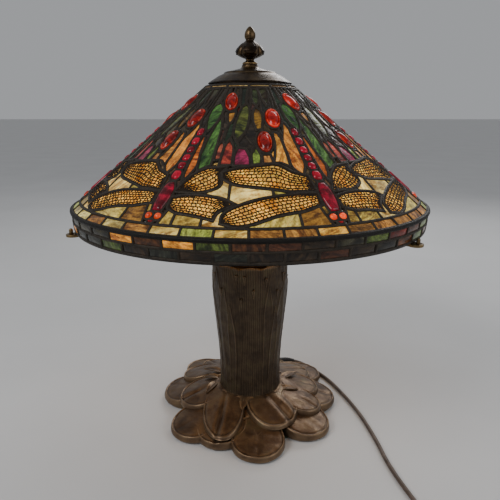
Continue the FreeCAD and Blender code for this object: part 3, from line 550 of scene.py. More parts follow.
sweep(relief, relief_path, relief_section)
relief.make("strain_relief", "stand", black_rubber, "black_rubber", ["cord_grommet"], sharp=50)

PLUG_AT = Vector((0.284, -0.326, 0.0))
PLUG_TURN = Matrix.Rotation(math.radians(-9), 4, "Z")
plug_frame = Matrix.Translation(PLUG_AT) @ PLUG_TURN
PLUG_SHAPE = [
    # along the plug: half width, half height, middle height
    (-0.0005, 0.0038, 0.0036, 0.0071), (0.002, 0.0046, 0.0045, 0.0071), (0.006, 0.0062, 0.0052, 0.0071),
    (0.010, 0.0088, 0.0060, 0.0070), (0.014, 0.0108, 0.0066, 0.0070), (0.018, 0.0117, 0.0068, 0.0070),
    (0.0255, 0.0118, 0.0069, 0.0070), (0.0262, 0.0109, 0.0062, 0.0070), (0.0270, 0.0109, 0.0062, 0.0070),
    (0.0277, 0.0118, 0.0069, 0.0070), (0.0292, 0.0116, 0.0067, 0.0070), (0.0299, 0.0106, 0.0058, 0.0070),
]


def squircle(half_w, half_h, count=40, power=3.2):
    points = []
    for k in range(count):
        a = 2 * math.pi * k / count
        c, s = math.cos(a), math.sin(a)
        grow = (abs(c) ** power + abs(s) ** power) ** (-1 / power)
        points.append((half_w * c * grow, half_h * s * grow))
    return points


plug = Build()
loft(plug, [[plug_frame @ Vector((x, y, mid + z)) for y, z in squircle(w, h)] for x, w, h, mid in PLUG_SHAPE])
for side in (-1, 1):
    for x in (0.0125, 0.0155, 0.0185, 0.0215):
        half_w = table([row[:2] for row in PLUG_SHAPE], x) - 0.0003
        rib = [[plug_frame @ Vector((x + dx, side * half_w + dy, 0.007 + z))
                for dx, dy in ((-0.0008, 0), (0, side * 0.0006), (0.0008, 0), (0, -side * 0.001))]
               for z in (-0.0035, -0.003, 0, 0.003, 0.0035)]
        loft(plug, rib)
plug.make("plug_shell", "stand", plug_plastic, "plug_plastic", ["plug_body"], sharp=40)

PRONG_SIDE, PRONG_HALF, PRONG_Z = 0.00635, 0.00075, 0.00715
HOLE_AT, HOLE_RADIUS, HOLE_SIDES, HOLE_CLEAR = 0.0415, 0.0016, 16, 0.0015
prongs = Build()
for side in (-PRONG_SIDE, PRONG_SIDE):
    outline = [(0.0295, -0.00315), (0.0455, -0.00315), (0.0468, -0.0022), (0.0468, 0.0022), (0.0455, 0.00315),
               (0.0295, 0.00315)]
    hole = [(HOLE_AT + HOLE_RADIUS * math.cos(a), HOLE_RADIUS * math.sin(a))
            for a in np.linspace(0, 2 * math.pi, HOLE_SIDES + 1)[:-1]]
    flat = outline + hole
    links = [(i, (i + 1) % 6) for i in range(6)]
    links += [(6 + i, 6 + (i + 1) % HOLE_SIDES) for i in range(HOLE_SIDES)]
    verts2, _, tris, *_ = geometry.delaunay_2d_cdt([Vector(p) for p in flat], links, [], 1, 1e-7)
    middles = [sum((verts2[i] for i in t), Vector((0, 0))) / 3 for t in tris]
    tris = [t for t, middle in zip(tris, middles) if (middle - Vector((HOLE_AT, 0))).length > HOLE_CLEAR]
    n = len(verts2)
    verts = [plug_frame @ Vector((p.x, side + dy, PRONG_Z + p.y))
             for dy in (-PRONG_HALF, PRONG_HALF) for p in verts2]
    faces = [tuple(t) for t in tris] + [tuple(i + n for i in reversed(t)) for t in tris]
    edges = [(a, b) for t in tris for a, b in zip(t, t[1:] + t[:1])]
    faces += [(b, a, a + n, b + n) for a, b in edges if (b, a) not in edges]
    prongs.add(verts, faces)
prongs.make("plug_prongs", "stand", brass, "brass", ["plug_blades"], smooth=False)

# ---------------------------------------------------------------- shade: the cone and its panes

TOP_R, TOP_Z = 0.060, 0.5075
LOW_R, LOW_Z = 0.254, 0.342
RIM_R, RIM_Z = 0.2505, 0.315
SLANT = math.hypot(LOW_R - TOP_R, TOP_Z - LOW_Z)
OUT_PER_SLANT, DOWN_PER_SLANT = (LOW_R - TOP_R) / SLANT, (TOP_Z - LOW_Z) / SLANT
APEX_SLANT = TOP_R / OUT_PER_SLANT
APEX_Z = TOP_Z + APEX_SLANT * DOWN_PER_SLANT
APEX = Vector((0, 0, APEX_Z))
PERIOD, FIRST = 360 / 7, -27.13
GLASS_THICK, GAP = 0.003, 0.003


def outward(azimuth):
    return Vector((DOWN_PER_SLANT * math.sin(azimuth), -DOWN_PER_SLANT * math.cos(azimuth), OUT_PER_SLANT))


def on_cone(azimuth, distance, height=0.0):
    """Point on the cone: azimuth in radians, distance from the apex, height outside the surface."""
    r = distance * OUT_PER_SLANT + height * DOWN_PER_SLANT
    z = APEX_Z - distance * DOWN_PER_SLANT + height * OUT_PER_SLANT
    return around(azimuth, r, z)


class Sheet:
    """The developed cone near one azimuth: flat (x, y) to and from the wall."""

    def __init__(self, azimuth):
        self.azimuth = azimuth

    def flat(self, azimuth, distance):
        turn = (azimuth - self.azimuth + math.pi) % (2 * math.pi) - math.pi
        return Vector((distance * math.sin(turn * OUT_PER_SLANT), -distance * math.cos(turn * OUT_PER_SLANT)))

    def wall(self, p, height=0.0):
        distance = math.hypot(p[0], p[1])
        return on_cone(self.azimuth + math.atan2(p[0], -p[1]) / OUT_PER_SLANT, distance, height)


def islands(obj):
    """The separate solids of a CAD node: arrays of its welded points, and its triangles by solid."""
    mesh = obj.data
    mesh.calc_loop_triangles()
    points = np.array([v.co for v in mesh.vertices])
    keys, index = np.unique(np.round(points * 1e6).astype(np.int64), axis=0, return_inverse=True)
    tris = index.ravel()[np.array([t.vertices for t in mesh.loop_triangles])]
    parent = list(range(len(keys)))

    def root(i):
        while parent[i] != i:
            parent[i] = parent[parent[i]]
            i = parent[i]
        return i

    for a, b, c in tris:
        parent[root(a)] = root(b)
        parent[root(b)] = root(c)
    groups = {}
    for tri in tris:
        groups.setdefault(root(tri[0]), []).append(tri)
    return keys * 1e-6, list(groups.values())


WELD, TINY_AREA, FACING_OUT = 0.0006, 1e-14, 0.9


def outlines(name):
    """The outline of each pane's outer face, as (sheet, flat points) on the developed cone."""
    points, groups = islands(nodes[name])
    found = []
    for tris in groups:
        middle = points[np.unique(tris)].mean(0)
        azimuth = math.atan2(middle[0], -middle[1])
        edges = {}
        for a, b, c in tris:
            pa, pb, pc = (Vector(points[i]) for i in (a, b, c))
            normal = (pb - pa).cross(pc - pa)
            centre = (pa + pb + pc) / 3
            outside = outward(math.atan2(centre.x, -centre.y))
            if normal.length < TINY_AREA or normal.normalized().dot(outside) < FACING_OUT:
                continue
            for i, j in ((a, b), (b, c), (c, a)):
                edges[(i, j)] = True
        border = {i: j for i, j in edges if (j, i) not in edges}
        start = next(iter(border))
        loop, here = [start], border[start]
        while here != start and len(loop) < 5000:
            loop.append(here)
            here = border[here]
        sheet = Sheet(azimuth)
        flat = []
        for i in loop:
            p = Vector(points[i])
            q = sheet.flat(math.atan2(p.x, -p.y), (p - APEX).length)
            if not flat or (q - flat[-1]).length > WELD:
                flat.append(q)
        if (flat[0] - flat[-1]).length < WELD:
            flat.pop()
        found.append((sheet, flat))
    return sorted(found, key=lambda f: (round(f[0].azimuth, 4), round(f[1][0].y, 5)))


def tidy_loop(flat, step=0.003, corner=50.0):
    """Outline with rounded runs between its corners, evenly divided."""
    kept = []
    n = len(flat)
    for i in range(n):
        a, b, c = flat[i - 1], flat[i], flat[(i + 1) % n]
        if (b - a).length < 1e-6:
            continue
        bend = (b - a).angle(c - b, 0.0)
        if bend > math.radians(3) or (b - a).length > 0.006:
            kept.append(b)
    return smooth_flat(kept, step, True, corner)


def edge_distance(p, a, b):
    """Distance of each point from the nearest of the segments a-b."""
    ab = b - a
    t = np.clip(((p[:, None] - a) * ab).sum(2) / np.maximum((ab * ab).sum(1), 1e-14), 0, 1)
    return np.linalg.norm(p[:, None] - (a + t[..., None] * ab), axis=2).min(1)


def inside(p, loop):
    a, b = loop, np.roll(loop, -1, axis=0)
    x, y = p[:, 0:1], p[:, 1:2]
    crosses = ((a[:, 1] > y) != (b[:, 1] > y)) & (
        x < (b[:, 0] - a[:, 0]) * (y - a[:, 1]) / (b[:, 1] - a[:, 1] + 1e-15) + a[:, 0])
    return crosses.sum(1) % 2 == 1


def wavy(p, seed, size, height):
    return height * noise.noise(Vector((p[0] / size + seed * 7.3, p[1] / size - seed * 3.1, seed)))


class Panes(Build):
    """Many closed panes of one node, with their colours and the direction of their streaks."""

    def __init__(self):
        super().__init__()
        self.flow = []

    def pane(self, wall, loop, colours, seed, spacing=0.0042, rise=0.0, dome=0.0, dome_width=0.006,
             ripple=0.00035):
        """wall(p, height) places flat points; the outer face is domed and rippled, the back is plain."""
        border = np.array([(p[0], p[1]) for p in loop])
        low, high = border.min(0), border.max(0)
        count = len(border)
        inner = []
        row = 0
        y = low[1] + spacing * 0.5
        while y < high[1]:
            x = low[0] + spacing * (0.5 if row % 2 else 0.15)
            while x < high[0]:
                inner.append((x, y))
                x += spacing
            y += spacing * 0.87
            row += 1
        inner = np.array(inner).reshape(-1, 2)
        if len(inner):
            inner = inner[inside(inner, border)]
        if len(inner):
            inner = inner[edge_distance(inner, border, np.roll(border, -1, axis=0)) > spacing * 0.45]
        flat = np.concatenate([border, inner]) if len(inner) else border
        links = [(i, (i + 1) % count) for i in range(count)]
        verts2, _, tris, *_ = geometry.delaunay_2d_cdt([Vector(p) for p in flat], links, [], 1, 1e-8)
        p2 = np.array([(v.x, v.y) for v in verts2])
        if not len(tris):
            return
        away = edge_distance(p2, border, np.roll(border, -1, axis=0))
        front, back = [], []
        for p, d in zip(p2, away):
            h = rise + wavy(p, seed, 0.011, ripple) + wavy(p, seed + 9, 0.004, ripple * 0.4)
            if dome:
                h += dome * math.sqrt(max(0.0, 1 - (1 - min(d / dome_width, 1)) ** 2))
            front.append(wall(p, h))
            back.append(wall(p, -GLASS_THICK))
        n = len(p2)
        faces, used = [], set()
        for t in tris:
            a, b, c = (p2[i] for i in t)
            up = (b[0] - a[0]) * (c[1] - a[1]) - (b[1] - a[1]) * (c[0] - a[0]) > 0
            t = tuple(t) if up else tuple(reversed(t))
            faces.append(t)
            faces.append(tuple(i + n for i in reversed(t)))
            for i, j in zip(t, t[1:] + t[:1]):
                used.add((i, j))
        for i, j in used:
            if (j, i) not in used:
                faces.append((j, i, i + n, j + n))
        light, deep, glow = colours
        angle = rng.uniform(-0.5, 0.5) + (math.pi / 2 if rng.random() < 0.35 else 0)
        shift = rng.uniform(0, 3, 2)
        c, s = math.cos(angle), math.sin(angle)
        self.flow.extend([(p[0] * c - p[1] * s + shift[0], p[0] * s + p[1] * c + shift[1]) for p in p2] * 2)
        self.add(front + back, faces, light_colour=(*light, 1.0), deep_colour=(*deep, 1.0), glow=float(glow))

    def make(self, *args, **kwargs):
        obj = super().make(*args, **kwargs)
        mesh = obj.data
        uv = mesh.uv_layers.new(name="flow")
        corner = np.zeros(len(mesh.loops), dtype=np.int64)
        mesh.loops.foreach_get("vertex_index", corner)
        uv.data.foreach_set("uv", np.array(self.flow, dtype=np.float32)[corner].ravel())
        mesh.set_sharp_from_angle(angle=math.radians(50))
        return obj


# colours of the panes of one dragonfly, by place: degrees from its axis, millimetres down the cone
DUSK = [
    ((0.075, 0.055, 0.035), (0.018, 0.013, 0.010), 0.45), ((0.035, 0.070, 0.030), (0.010, 0.018, 0.010), 0.5),
    ((0.12, 0.045, 0.030), (0.030, 0.011, 0.010), 0.5), ((0.050, 0.050, 0.036), (0.013, 0.013, 0.011), 0.45),
    ((0.11, 0.075, 0.022), (0.026, 0.017, 0.007), 0.5),
]
PALETTE = [
    (1, 62, (0.09, 0.26, 0.045), (0.010, 0.040, 0.010), 0.8),
    (22.5, 70, (0.16, 0.18, 0.03), (0.025, 0.032, 0.008), 0.7),
    (23, 100, (0.22, 0.09, 0.035), (0.05, 0.020, 0.010), 0.75),
    (9, 80, (0.26, 0.05, 0.025), (0.06, 0.012, 0.010), 0.75),
    (9.5, 130, (0.78, 0.20, 0.02), (0.20, 0.035, 0.008), 0.95),
    (15.2, 68, (0.70, 0.34, 0.05), (0.26, 0.08, 0.010), 0.9),
    (14, 122, (0.50, 0.12, 0.06), (0.12, 0.025, 0.022), 0.9),
    (17.7, 130, (0.44, 0.060, 0.030), (0.12, 0.012, 0.012), 0.9),
    (24, 136, (0.36, 0.022, 0.085), (0.08, 0.005, 0.016), 0.85),
    (30, 136, (0.26, 0.36, 0.05), (0.05, 0.07, 0.010), 0.85),
    (34, 138, (0.58, 0.26, 0.06), (0.20, 0.06, 0.014), 0.85),
    (40, 120, (0.95, 0.44, 0.06), (0.34, 0.09, 0.010), 1.0),
    (46.4, 95, (0.48, 0.19, 0.03), (0.13, 0.035, 0.008), 0.8),
    (46.2, 135, (0.92, 0.38, 0.05), (0.30, 0.075, 0.009), 1.0),
    (3.9, 115, (0.10, 0.24, 0.045), (0.014, 0.045, 0.012), 0.8),
    (4.4, 155, (0.42, 0.66, 0.09), (0.04, 0.16, 0.016), 1.05),
    (32, 70, (0.30, 0.16, 0.018), (0.07, 0.035, 0.006), 0.7),
    (40.3, 24, (0.10, 0.12, 0.04), (0.05, 0.022, 0.010), 0.55),
    (31.6, 28, (0.06, 0.09, 0.025), (0.014, 0.018, 0.008), 0.55),
]
FILLERS = [
    (18, 192, (0.92, 0.70, 0.22), (0.50, 0.27, 0.04), 1.0),
    (28, 195, (0.95, 0.36, 0.07), (0.48, 0.11, 0.014), 1.05),
    (36, 228, (0.80, 0.62, 0.15), (0.34, 0.24, 0.035), 0.95),
    (45, 200, (0.44, 0.16, 0.025), (0.12, 0.035, 0.006), 0.85),
    (38, 190, (0.64, 0.52, 0.09), (0.22, 0.15, 0.018), 0.85),
    (10, 230, (0.62, 0.46, 0.09), (0.18, 0.10, 0.013), 0.85),
    (20, 232, (0.74, 0.60, 0.14), (0.28, 0.20, 0.03), 0.9),
    (46, 230, (0.40, 0.20, 0.03), (0.11, 0.045, 0.008), 0.8),
    (8, 192, (0.60, 0.36, 0.06), (0.18, 0.08, 0.012), 0.85),
]
WING = ((1.0, 0.55, 0.11), (0.66, 0.24, 0.022), 1.4)


def varied(colours, amount=0.16):
    light, deep, glow = colours
    k = 1 + rng.uniform(-amount, amount)
    warm = rng.uniform(-0.05, 0.05)
    tint = (k * (1 + warm), k, k * (1 - warm))

    def tinted(colour):
        return tuple(min(1.0, c * t) for c, t in zip(colour, tint))

    return tinted(light), tinted(deep), glow * (1 + rng.uniform(-amount, amount))


def blended(first, second, share):
    return tuple(a * (1 - share) + b * share for a, b in zip(first, second))


def cartoon_place(sheet, loop):
    """Middle of a pane as (degrees from its dragonfly's axis, millimetres down the cone)."""
    middle = sum((Vector((p[0], p[1])) for p in loop), Vector((0, 0))) / len(loop)
    azimuth = math.degrees(sheet.azimuth + math.atan2(middle[0], -middle[1]) / OUT_PER_SLANT)
    u = (azimuth - FIRST + 3) % PERIOD - 3
    return u, (middle.length - APEX_SLANT) / MM


def nearest(seeds, u, s):
    """Colours of the seed nearest to a place; a degree counts for 2.6 mm."""
    return min(seeds, key=lambda seed: math.hypot((seed[0] - u) * 2.6, seed[1] - s))[2:]


def dimmer(s):
    """The bulbs light the middle and the low part of the shade most."""
    return table([(0, 0.62), (60, 0.8), (120, 1.0), (200, 1.12), (245, 1.05), (258, 0.62), (280, 0.5)], s)


def ground_colours(u, s):
    """Dusky panes of mixed hues, warmer and brighter towards the wings."""
    light, deep, glow = varied(DUSK[int(rng.integers(len(DUSK)))], 0.25)
    warm = min(1.0, max(0.0, (s - 120) / 60)) * 0.5
    return blended(light, (0.44, 0.27, 0.12), warm), deep, glow * dimmer(s)


came = Build()
CAME_SECTION = [
    (-1.0, -0.4), (-0.72, 0.72), (0.0, 1.15), (0.72, 0.72), (1.0, -0.4), (0.85, -3.3), (0.0, -4.0),
    (-0.85, -3.3),
]
CAME_HALF = 0.00185


def came_round(build, sheet_wall, loop, half=CAME_HALF, grow=GAP / 2, lift=0.0, section=CAME_SECTION,
               seed=0.0):
    """Rounded lead bead round a pane, with slight unevenness from soldering."""
    pts = [Vector((p[0], p[1])) for p in loop]
    n = len(pts)
    area = sum(a.x * b.y - b.x * a.y for a, b in zip(pts, pts[1:] + pts[:1]))
    turn = 1 if area > 0 else -1
    rings = []
    for i in range(n):
        before, after = (pts[i] - pts[i - 1]).normalized(), (pts[(i + 1) % n] - pts[i]).normalized()
        out = Vector((before.y + after.y, -before.x - after.x)) * turn
        length = max(out.length, 0.6)
        direction = out.normalized() if out.length > 1e-6 else Vector((before.y, -before.x)) * turn
        mitre = min(1.5, 2.0 / length)
        uneven = 1 + 0.10 * noise.noise(Vector((pts[i].x * 240, pts[i].y * 240, seed)))
        ring = []
        for across, h in section:
            p = pts[i] + direction * ((grow + across * half * uneven) * mitre)
            ring.append(sheet_wall(p, h * MM * (uneven if h > 0 else 1) + lift))
        rings.append(ring)
    build.add([p for ring in rings for p in ring], closed_faces(n, len(section), flip=turn < 0))


# ground, filler and blade panes
SEED_STEP = 0.37
seed = 0.0
for name, palette_of in (("ground_glass", None), ("filler_glass", FILLERS), ("blade_glass", PALETTE)):
    panes = Panes()
    for sheet, flat in outlines(name):
        loop = tidy_loop(flat)
        u, s = cartoon_place(sheet, loop)
        if palette_of is None:
            colours = ground_colours(u, s)
        else:
            light, deep, glow = varied(nearest(palette_of, u, s))
            colours = (light, deep, glow * dimmer(s))
        seed += SEED_STEP
        panes.pane(sheet.wall, loop, colours, rise=-0.0003, dome=0.0004, dome_width=0.004, seed=seed)
        came_round(came, sheet.wall, loop, seed=seed)
    panes.make(name + "_panes", "shade", pane_glass, name, [name])

# wings with their etched metal overlay
wings, filigree = Panes(), Build()
VEIN_SECTION = [(-0.5, 0.0), (-0.34, 0.8), (0.34, 0.8), (0.5, 0.0)]
VEIN_WIDTH, VEIN_LOW, VEIN_HIGH = 0.00125, 0.0002, 0.0009
NET_PITCH, NET_JITTER, NET_STATIONS = 0.0051, 0.0012, 60


def vein(wall, points):
    """Narrow raised strip of metal on the wing's face."""
    rings = []
    n = len(points)
    for i, p in enumerate(points):
        ahead = points[min(i + 1, n - 1)] - points[max(i - 1, 0)]
        side = Vector((-ahead.y, ahead.x)).normalized()
        rings.append([wall(p + side * (x * VEIN_WIDTH), VEIN_LOW + y * (VEIN_HIGH - VEIN_LOW) / 0.8)
                      for x, y in VEIN_SECTION])
    verts = [p for ring in rings for p in ring]
    faces = grid_faces(n, 4, flip=True)
    faces.append((0, 1, 2, 3))
    faces.append(tuple((n - 1) * 4 + k for k in (3, 2, 1, 0)))
    filigree.add(verts, faces)


def crossings(loop, x):
    ys = []
    for a, b in zip(loop, loop[1:] + loop[:1]):
        if (a.x > x) != (b.x > x):
            ys.append(a.y + (b.y - a.y) * (x - a.x) / (b.x - a.x))
    return (min(ys), max(ys)) if len(ys) >= 2 else None


def wing_net(wall, loop, seed):
    """Veins along the wing with short staggered crosspieces between them."""
    pts = [Vector((p[0], p[1])) for p in loop]
    middle = sum(pts, Vector((0, 0))) / len(pts)
    far = max(pts, key=lambda p: (p - middle).length)
    near = max(pts, key=lambda p: (p - far).length)
    axis = (far - near).normalized()
    cross = Vector((-axis.y, axis.x))
    local = [Vector(((p - near).dot(axis), (p - near).dot(cross))) for p in pts]
    length = max(p.x for p in local)

    def back(x, y):
        return near + axis * x + cross * y

    stations = [length * t for t in np.linspace(0.015, 0.985, NET_STATIONS)]
    limits = [(x, crossings(local, x)) for x in stations]
    limits = [(x, lim) for x, lim in limits if lim and lim[1] - lim[0] > 0.004]
    rows = 6 if max(lim[1] - lim[0] for _, lim in limits) < 0.028 else 7
    lines = []
    for r in range(1, rows):
        v = r / rows
        line = []
        for x, (lo, hi) in limits:
            bend = 0.03 * math.sin(x / length * 5 + r + seed) + 0.018 * math.sin(x * 1750 + r * 2.6)
            line.append((x, lo + (hi - lo) * min(0.95, max(0.05, v + bend))))
        lines.append(line)
    edge_low = [(x, lim[0] + 0.0006) for x, lim in limits]
    edge_high = [(x, lim[1] - 0.0006) for x, lim in limits]
    for line in lines:
        vein(wall, [back(x, y) for x, y in line])
    every = [edge_low] + lines + [edge_high]
    for r, (below, above) in enumerate(zip(every, every[1:])):
        bx, by = [p[0] for p in below], [p[1] for p in below]
        ay = [p[1] for p in above]
        x = bx[0] + 0.003 + (r % 2) * 0.0027
        while x < bx[-1] - 0.002:
            y0, y1 = float(np.interp(x, bx, by)), float(np.interp(x, bx, ay))
            if y1 - y0 > 0.0012:
                lean = 0.0011 * math.sin(x * 900 + r * 1.7)
                vein(wall, [back(x, y0), back(x + lean, (y0 + y1) / 2), back(x - lean, y1)])
            x += NET_PITCH + NET_JITTER * math.sin(x * 400 + r * 2.1)
    came_round(filigree, wall, loop, half=0.0012, grow=-0.0006, lift=-0.0001,
               section=[(-1, 0.1), (-0.6, 0.95), (0.6, 1.05), (1, 0.1)], seed=seed)


UPPER_WING_END = 185
for sheet, flat in outlines("wing_glass"):
    loop = tidy_loop(flat)
    seed += SEED_STEP
    light, deep, glow = varied(WING, 0.1)
    u, s = cartoon_place(sheet, loop)
    # Painted light: the upper wings get less glow, standing for the weaker bulb light higher up the shade.
    glow *= 0.82 if s < UPPER_WING_END else 1.0
    wings.pane(sheet.wall, loop, (light, deep, glow), spacing=0.0045, rise=-0.0002, seed=seed)
    came_round(came, sheet.wall, loop, seed=seed)
    wing_net(sheet.wall, loop, seed)
wings.make("wing_panes", "shade", wing_glass_mat, "wing_glass", ["wing_glass"])
filigree.make("wing_net", "shade", filigree_metal, "filigree", ["wing_filigree"], sharp=60)

# the dragonfly's tail, body, head and eyes
for name, slot_name, colours, rise, dome, width in (
    ("tail_beads", "jewel_glass", ((0.46, 0.002, 0.026), (0.14, 0.001, 0.006), 0.8), 0.0004, 0.0022, 0.0045),
    ("thorax_glass", "body_glass", ((0.40, 0.003, 0.030), (0.08, 0.001, 0.006), 0.75), 0.0006, 0.0024, 0.005),
    ("head_glass", "body_glass", ((0.60, 0.02, 0.03), (0.2, 0.005, 0.006), 0.7), 0.0003, 0.0012, 0.003),
    ("eye_glass", "eye_glass", ((0.95, 0.10, 0.012), (0.45, 0.014, 0.003), 1.1), 0.0006, 0.0026, 0.0042),
):
    panes = Panes()
    for sheet, flat in outlines(name):
        loop = tidy_loop(flat, 0.002)
        seed += SEED_STEP
        panes.pane(sheet.wall, loop, varied(colours, 0.12), spacing=0.0018, rise=rise, dome=dome,
                   dome_width=width, ripple=0.0001, seed=seed)
        came_round(came, sheet.wall, loop, seed=seed)
    panes.make(name + "_pressed", "shade", pressed_glass, slot_name, [name])

# oval cabochons: dome, groove, raised rim
JEWELS = [(12.1, 38, 8.2, 16.5, 8), (41.5, 69, 9.3, 17, -4), (34.1, 110, 8.6, 17.3, 0)]
JEWEL_PROFILE = [
    (0.0, 4.4), (0.18, 4.3), (0.36, 3.9), (0.52, 3.2), (0.64, 2.3), (0.71, 1.4), (0.75, 0.95),
    (0.79, 1.2), (0.83, 1.9), (0.88, 2.25), (0.93, 2.0), (0.97, 1.2), (1.0, 0.1),
]
JEWEL_ROWS = [(1.0, -3.0)] + JEWEL_PROFILE[:0:-1]
JEWEL_SIDES = 36
JEWEL_RED = ((0.44, 0.010, 0.004), (0.13, 0.001, 0.001), 0.8)
RIM_RED, RIM_SHARE, RIM_SPREAD = (0.90, 0.11, 0.035), 0.89, 0.07
jewels = Panes()
for u, s, half_w, half_h, lean in JEWELS:
    for k in range(7):
        azimuth = math.radians(FIRST + u + k * PERIOD)
        sheet = Sheet(azimuth)
        centre = sheet.flat(azimuth, APEX_SLANT + s * MM)
        t = math.radians(lean)

        def spot(share, a):
            x, y = half_w * share * math.cos(a) * MM, half_h * share * math.sin(a) * MM
            return centre + Vector((x * math.cos(t) + y * math.sin(t), -(-x * math.sin(t) + y * math.cos(t))))

        angles = [2 * math.pi * j / JEWEL_SIDES for j in range(JEWEL_SIDES)]
        verts = [sheet.wall(spot(share, a), h * MM) for share, h in JEWEL_ROWS for a in angles]
        verts.append(sheet.wall(centre, JEWEL_PROFILE[0][1] * MM))
        faces = grid_faces(len(JEWEL_ROWS), JEWEL_SIDES, flip=True)
        last = (len(JEWEL_ROWS) - 1) * JEWEL_SIDES
        faces += [(last + (j + 1) % JEWEL_SIDES, last + j, len(verts) - 1) for j in range(JEWEL_SIDES)]
        faces.append(tuple(range(JEWEL_SIDES)))
        flat_points = [spot(share, a) for share, _ in JEWEL_ROWS for a in angles] + [centre]
        shares = [share for share, _ in JEWEL_ROWS for _ in angles] + [0.0]
        light, deep, glow = varied(JEWEL_RED, 0.1)
        colours = [(*blended(light, RIM_RED, max(0.0, 1 - abs(share - RIM_SHARE) / RIM_SPREAD)), 1.0)
                   for share in shares]
        shift = rng.uniform(0, 3, 2)
        jewels.flow.extend([(p[0] + shift[0], p[1] + shift[1]) for p in flat_points])
        jewels.add(verts, faces, light_colour=colours, deep_colour=(*deep, 1.0), glow=float(glow))
        came_round(came, sheet.wall, [spot(1.0, a) for a in angles], seed=seed)
jewels.make("cabochons", "shade", pressed_glass, "jewel_glass", ["jewel_glass"])
came.make("lead_came", "shade", lead, "lead_came", ["field_came", "wing_came"])

# ---------------------------------------------------------------- brick rows and rings of the shade

BRICKS, EDGE_B = 42, -0.3
APRON_DROP = math.hypot(LOW_R - RIM_R, LOW_Z - RIM_Z)
APRON_OUT = (LOW_Z - RIM_Z) / APRON_DROP
APRON_UP = -(LOW_R - RIM_R) / APRON_DROP


def wall_at(azimuth, s, height):
    """Point of the wall: cone down to the corner, then the apron."""
    if s <= SLANT:
        return on_cone(azimuth, APEX_SLANT + s, height)
    t = (s - SLANT) / APRON_DROP
    r = LOW_R + t * (RIM_R - LOW_R) + height * APRON_OUT
    return around(azimuth, r, LOW_Z + t * (RIM_Z - LOW_Z) + height * APRON_UP)


BRIGHT = [
    ((0.90, 0.66, 0.17), (0.46, 0.26, 0.035), 1.05), ((0.52, 0.58, 0.10), (0.20, 0.24, 0.025), 0.85),
    ((0.98, 0.56, 0.09), (0.44, 0.15, 0.014), 1.05), ((0.62, 0.30, 0.06), (0.16, 0.055, 0.010), 0.9),
    ((0.85, 0.72, 0.24), (0.42, 0.31, 0.06), 0.95), ((0.50, 0.22, 0.035), (0.10, 0.038, 0.007), 0.85),
]
DIM = [
    ((0.050, 0.030, 0.014), (0.012, 0.007, 0.004), 0.4),
    ((0.16, 0.055, 0.014), (0.032, 0.011, 0.005), 0.6),
    ((0.19, 0.020, 0.010), (0.045, 0.005, 0.003), 0.6),
    ((0.065, 0.058, 0.030), (0.015, 0.013, 0.008), 0.4),
    ((0.80, 0.34, 0.035), (0.24, 0.07, 0.007), 1.0), ((0.13, 0.19, 0.035), (0.028, 0.045, 0.008), 0.6),
    ((0.12, 0.040, 0.016), (0.026, 0.009, 0.005), 0.5), ((0.42, 0.16, 0.020), (0.10, 0.03, 0.005), 0.8),
    ((0.040, 0.045, 0.030), (0.010, 0.011, 0.008), 0.4),
]
CREAM = [((0.80, 0.58, 0.22), (0.44, 0.24, 0.06), 0.7), ((0.62, 0.38, 0.11), (0.28, 0.13, 0.025), 0.65)]
bricks_came = Build()
for name, count, first, high, low, palette in (
    ("top_strip_glass", 14, 24.3, 3.3, 8.9, CREAM),
    ("brick_row_b_glass", BRICKS, EDGE_B, 238.9, 252.0, BRIGHT),
    ("brick_row_c_glass", BRICKS, EDGE_B + 180 / BRICKS, 256.2, 267.4, DIM),
    ("brick_row_d_glass", BRICKS, EDGE_B, 267.6, 279.6, DIM),
):
    panes = Panes()
    slot_name = "brick_glass" if "brick" in name else "filler_glass"
    pitch = math.radians(360 / count)
    radius = wall_at(0, (high + low) / 2 * MM, 0).xy.length
    half_w, half_h = pitch * radius / 2 - GAP / 2, (low - high) / 2 * MM - GAP / 2
    for k in range(count):
        middle = math.radians(first) + (k + 0.5) * pitch

        def wall(p, h, middle=middle, radius=radius, s_mid=(high + low) / 2 * MM):
            return wall_at(middle + p[0] / radius, s_mid - p[1], h)

        corners = [(-half_w, -half_h), (half_w, -half_h), (half_w, half_h), (-half_w, half_h)]
        loop = smooth_flat(corners, 0.0045, True, 30)
        seed += SEED_STEP
        colours = varied(palette[int(rng.integers(len(palette)))], 0.15)
        panes.pane(wall, loop, colours, spacing=0.004, rise=-0.0003, dome=0.0006, dome_width=0.004, seed=seed)
        came_round(bricks_came, wall, loop, seed=seed)
    panes.make(name + "_panes", "shade", pane_glass, slot_name, [name])
bricks_came.make("brick_lead", "shade", lead, "lead_came", ["brick_came"])


RING_SIDES, RING_UNEVEN = 220, 0.0002


def lead_ring(name, node_name, section):
    """Ring turned from a closed section of (r, z) points, very slightly uneven."""
    verts = []
    for j in range(RING_SIDES):
        a = 2 * math.pi * j / RING_SIDES
        for r, z in section:
            w = RING_UNEVEN * noise.noise(Vector((math.sin(a) * 9, math.cos(a) * 9, z * 300)))
            verts.append(Vector(((r + w) * math.sin(a), -(r + w) * math.cos(a), z + w * 0.6)))
    piece = Build()
    piece.add(verts, closed_faces(RING_SIDES, len(section)))
    piece.make(name, "shade", lead, "lead_came", [node_name], sharp=70)


def rounded_box_section(r0, r1, z0, z1, fillet, steps=4):
    points = []
    for cx, cz, start in (
        (r1 - fillet, z0 + fillet, -90), (r1 - fillet, z1 - fillet, 0),
        (r0 + fillet, z1 - fillet, 90), (r0 + fillet, z0 + fillet, 180),
    ):
        for k in range(steps + 1):
            a = math.radians(start + 90 * k / steps)
            points.append((cx + fillet * math.cos(a), cz + fillet * math.sin(a)))
    return points


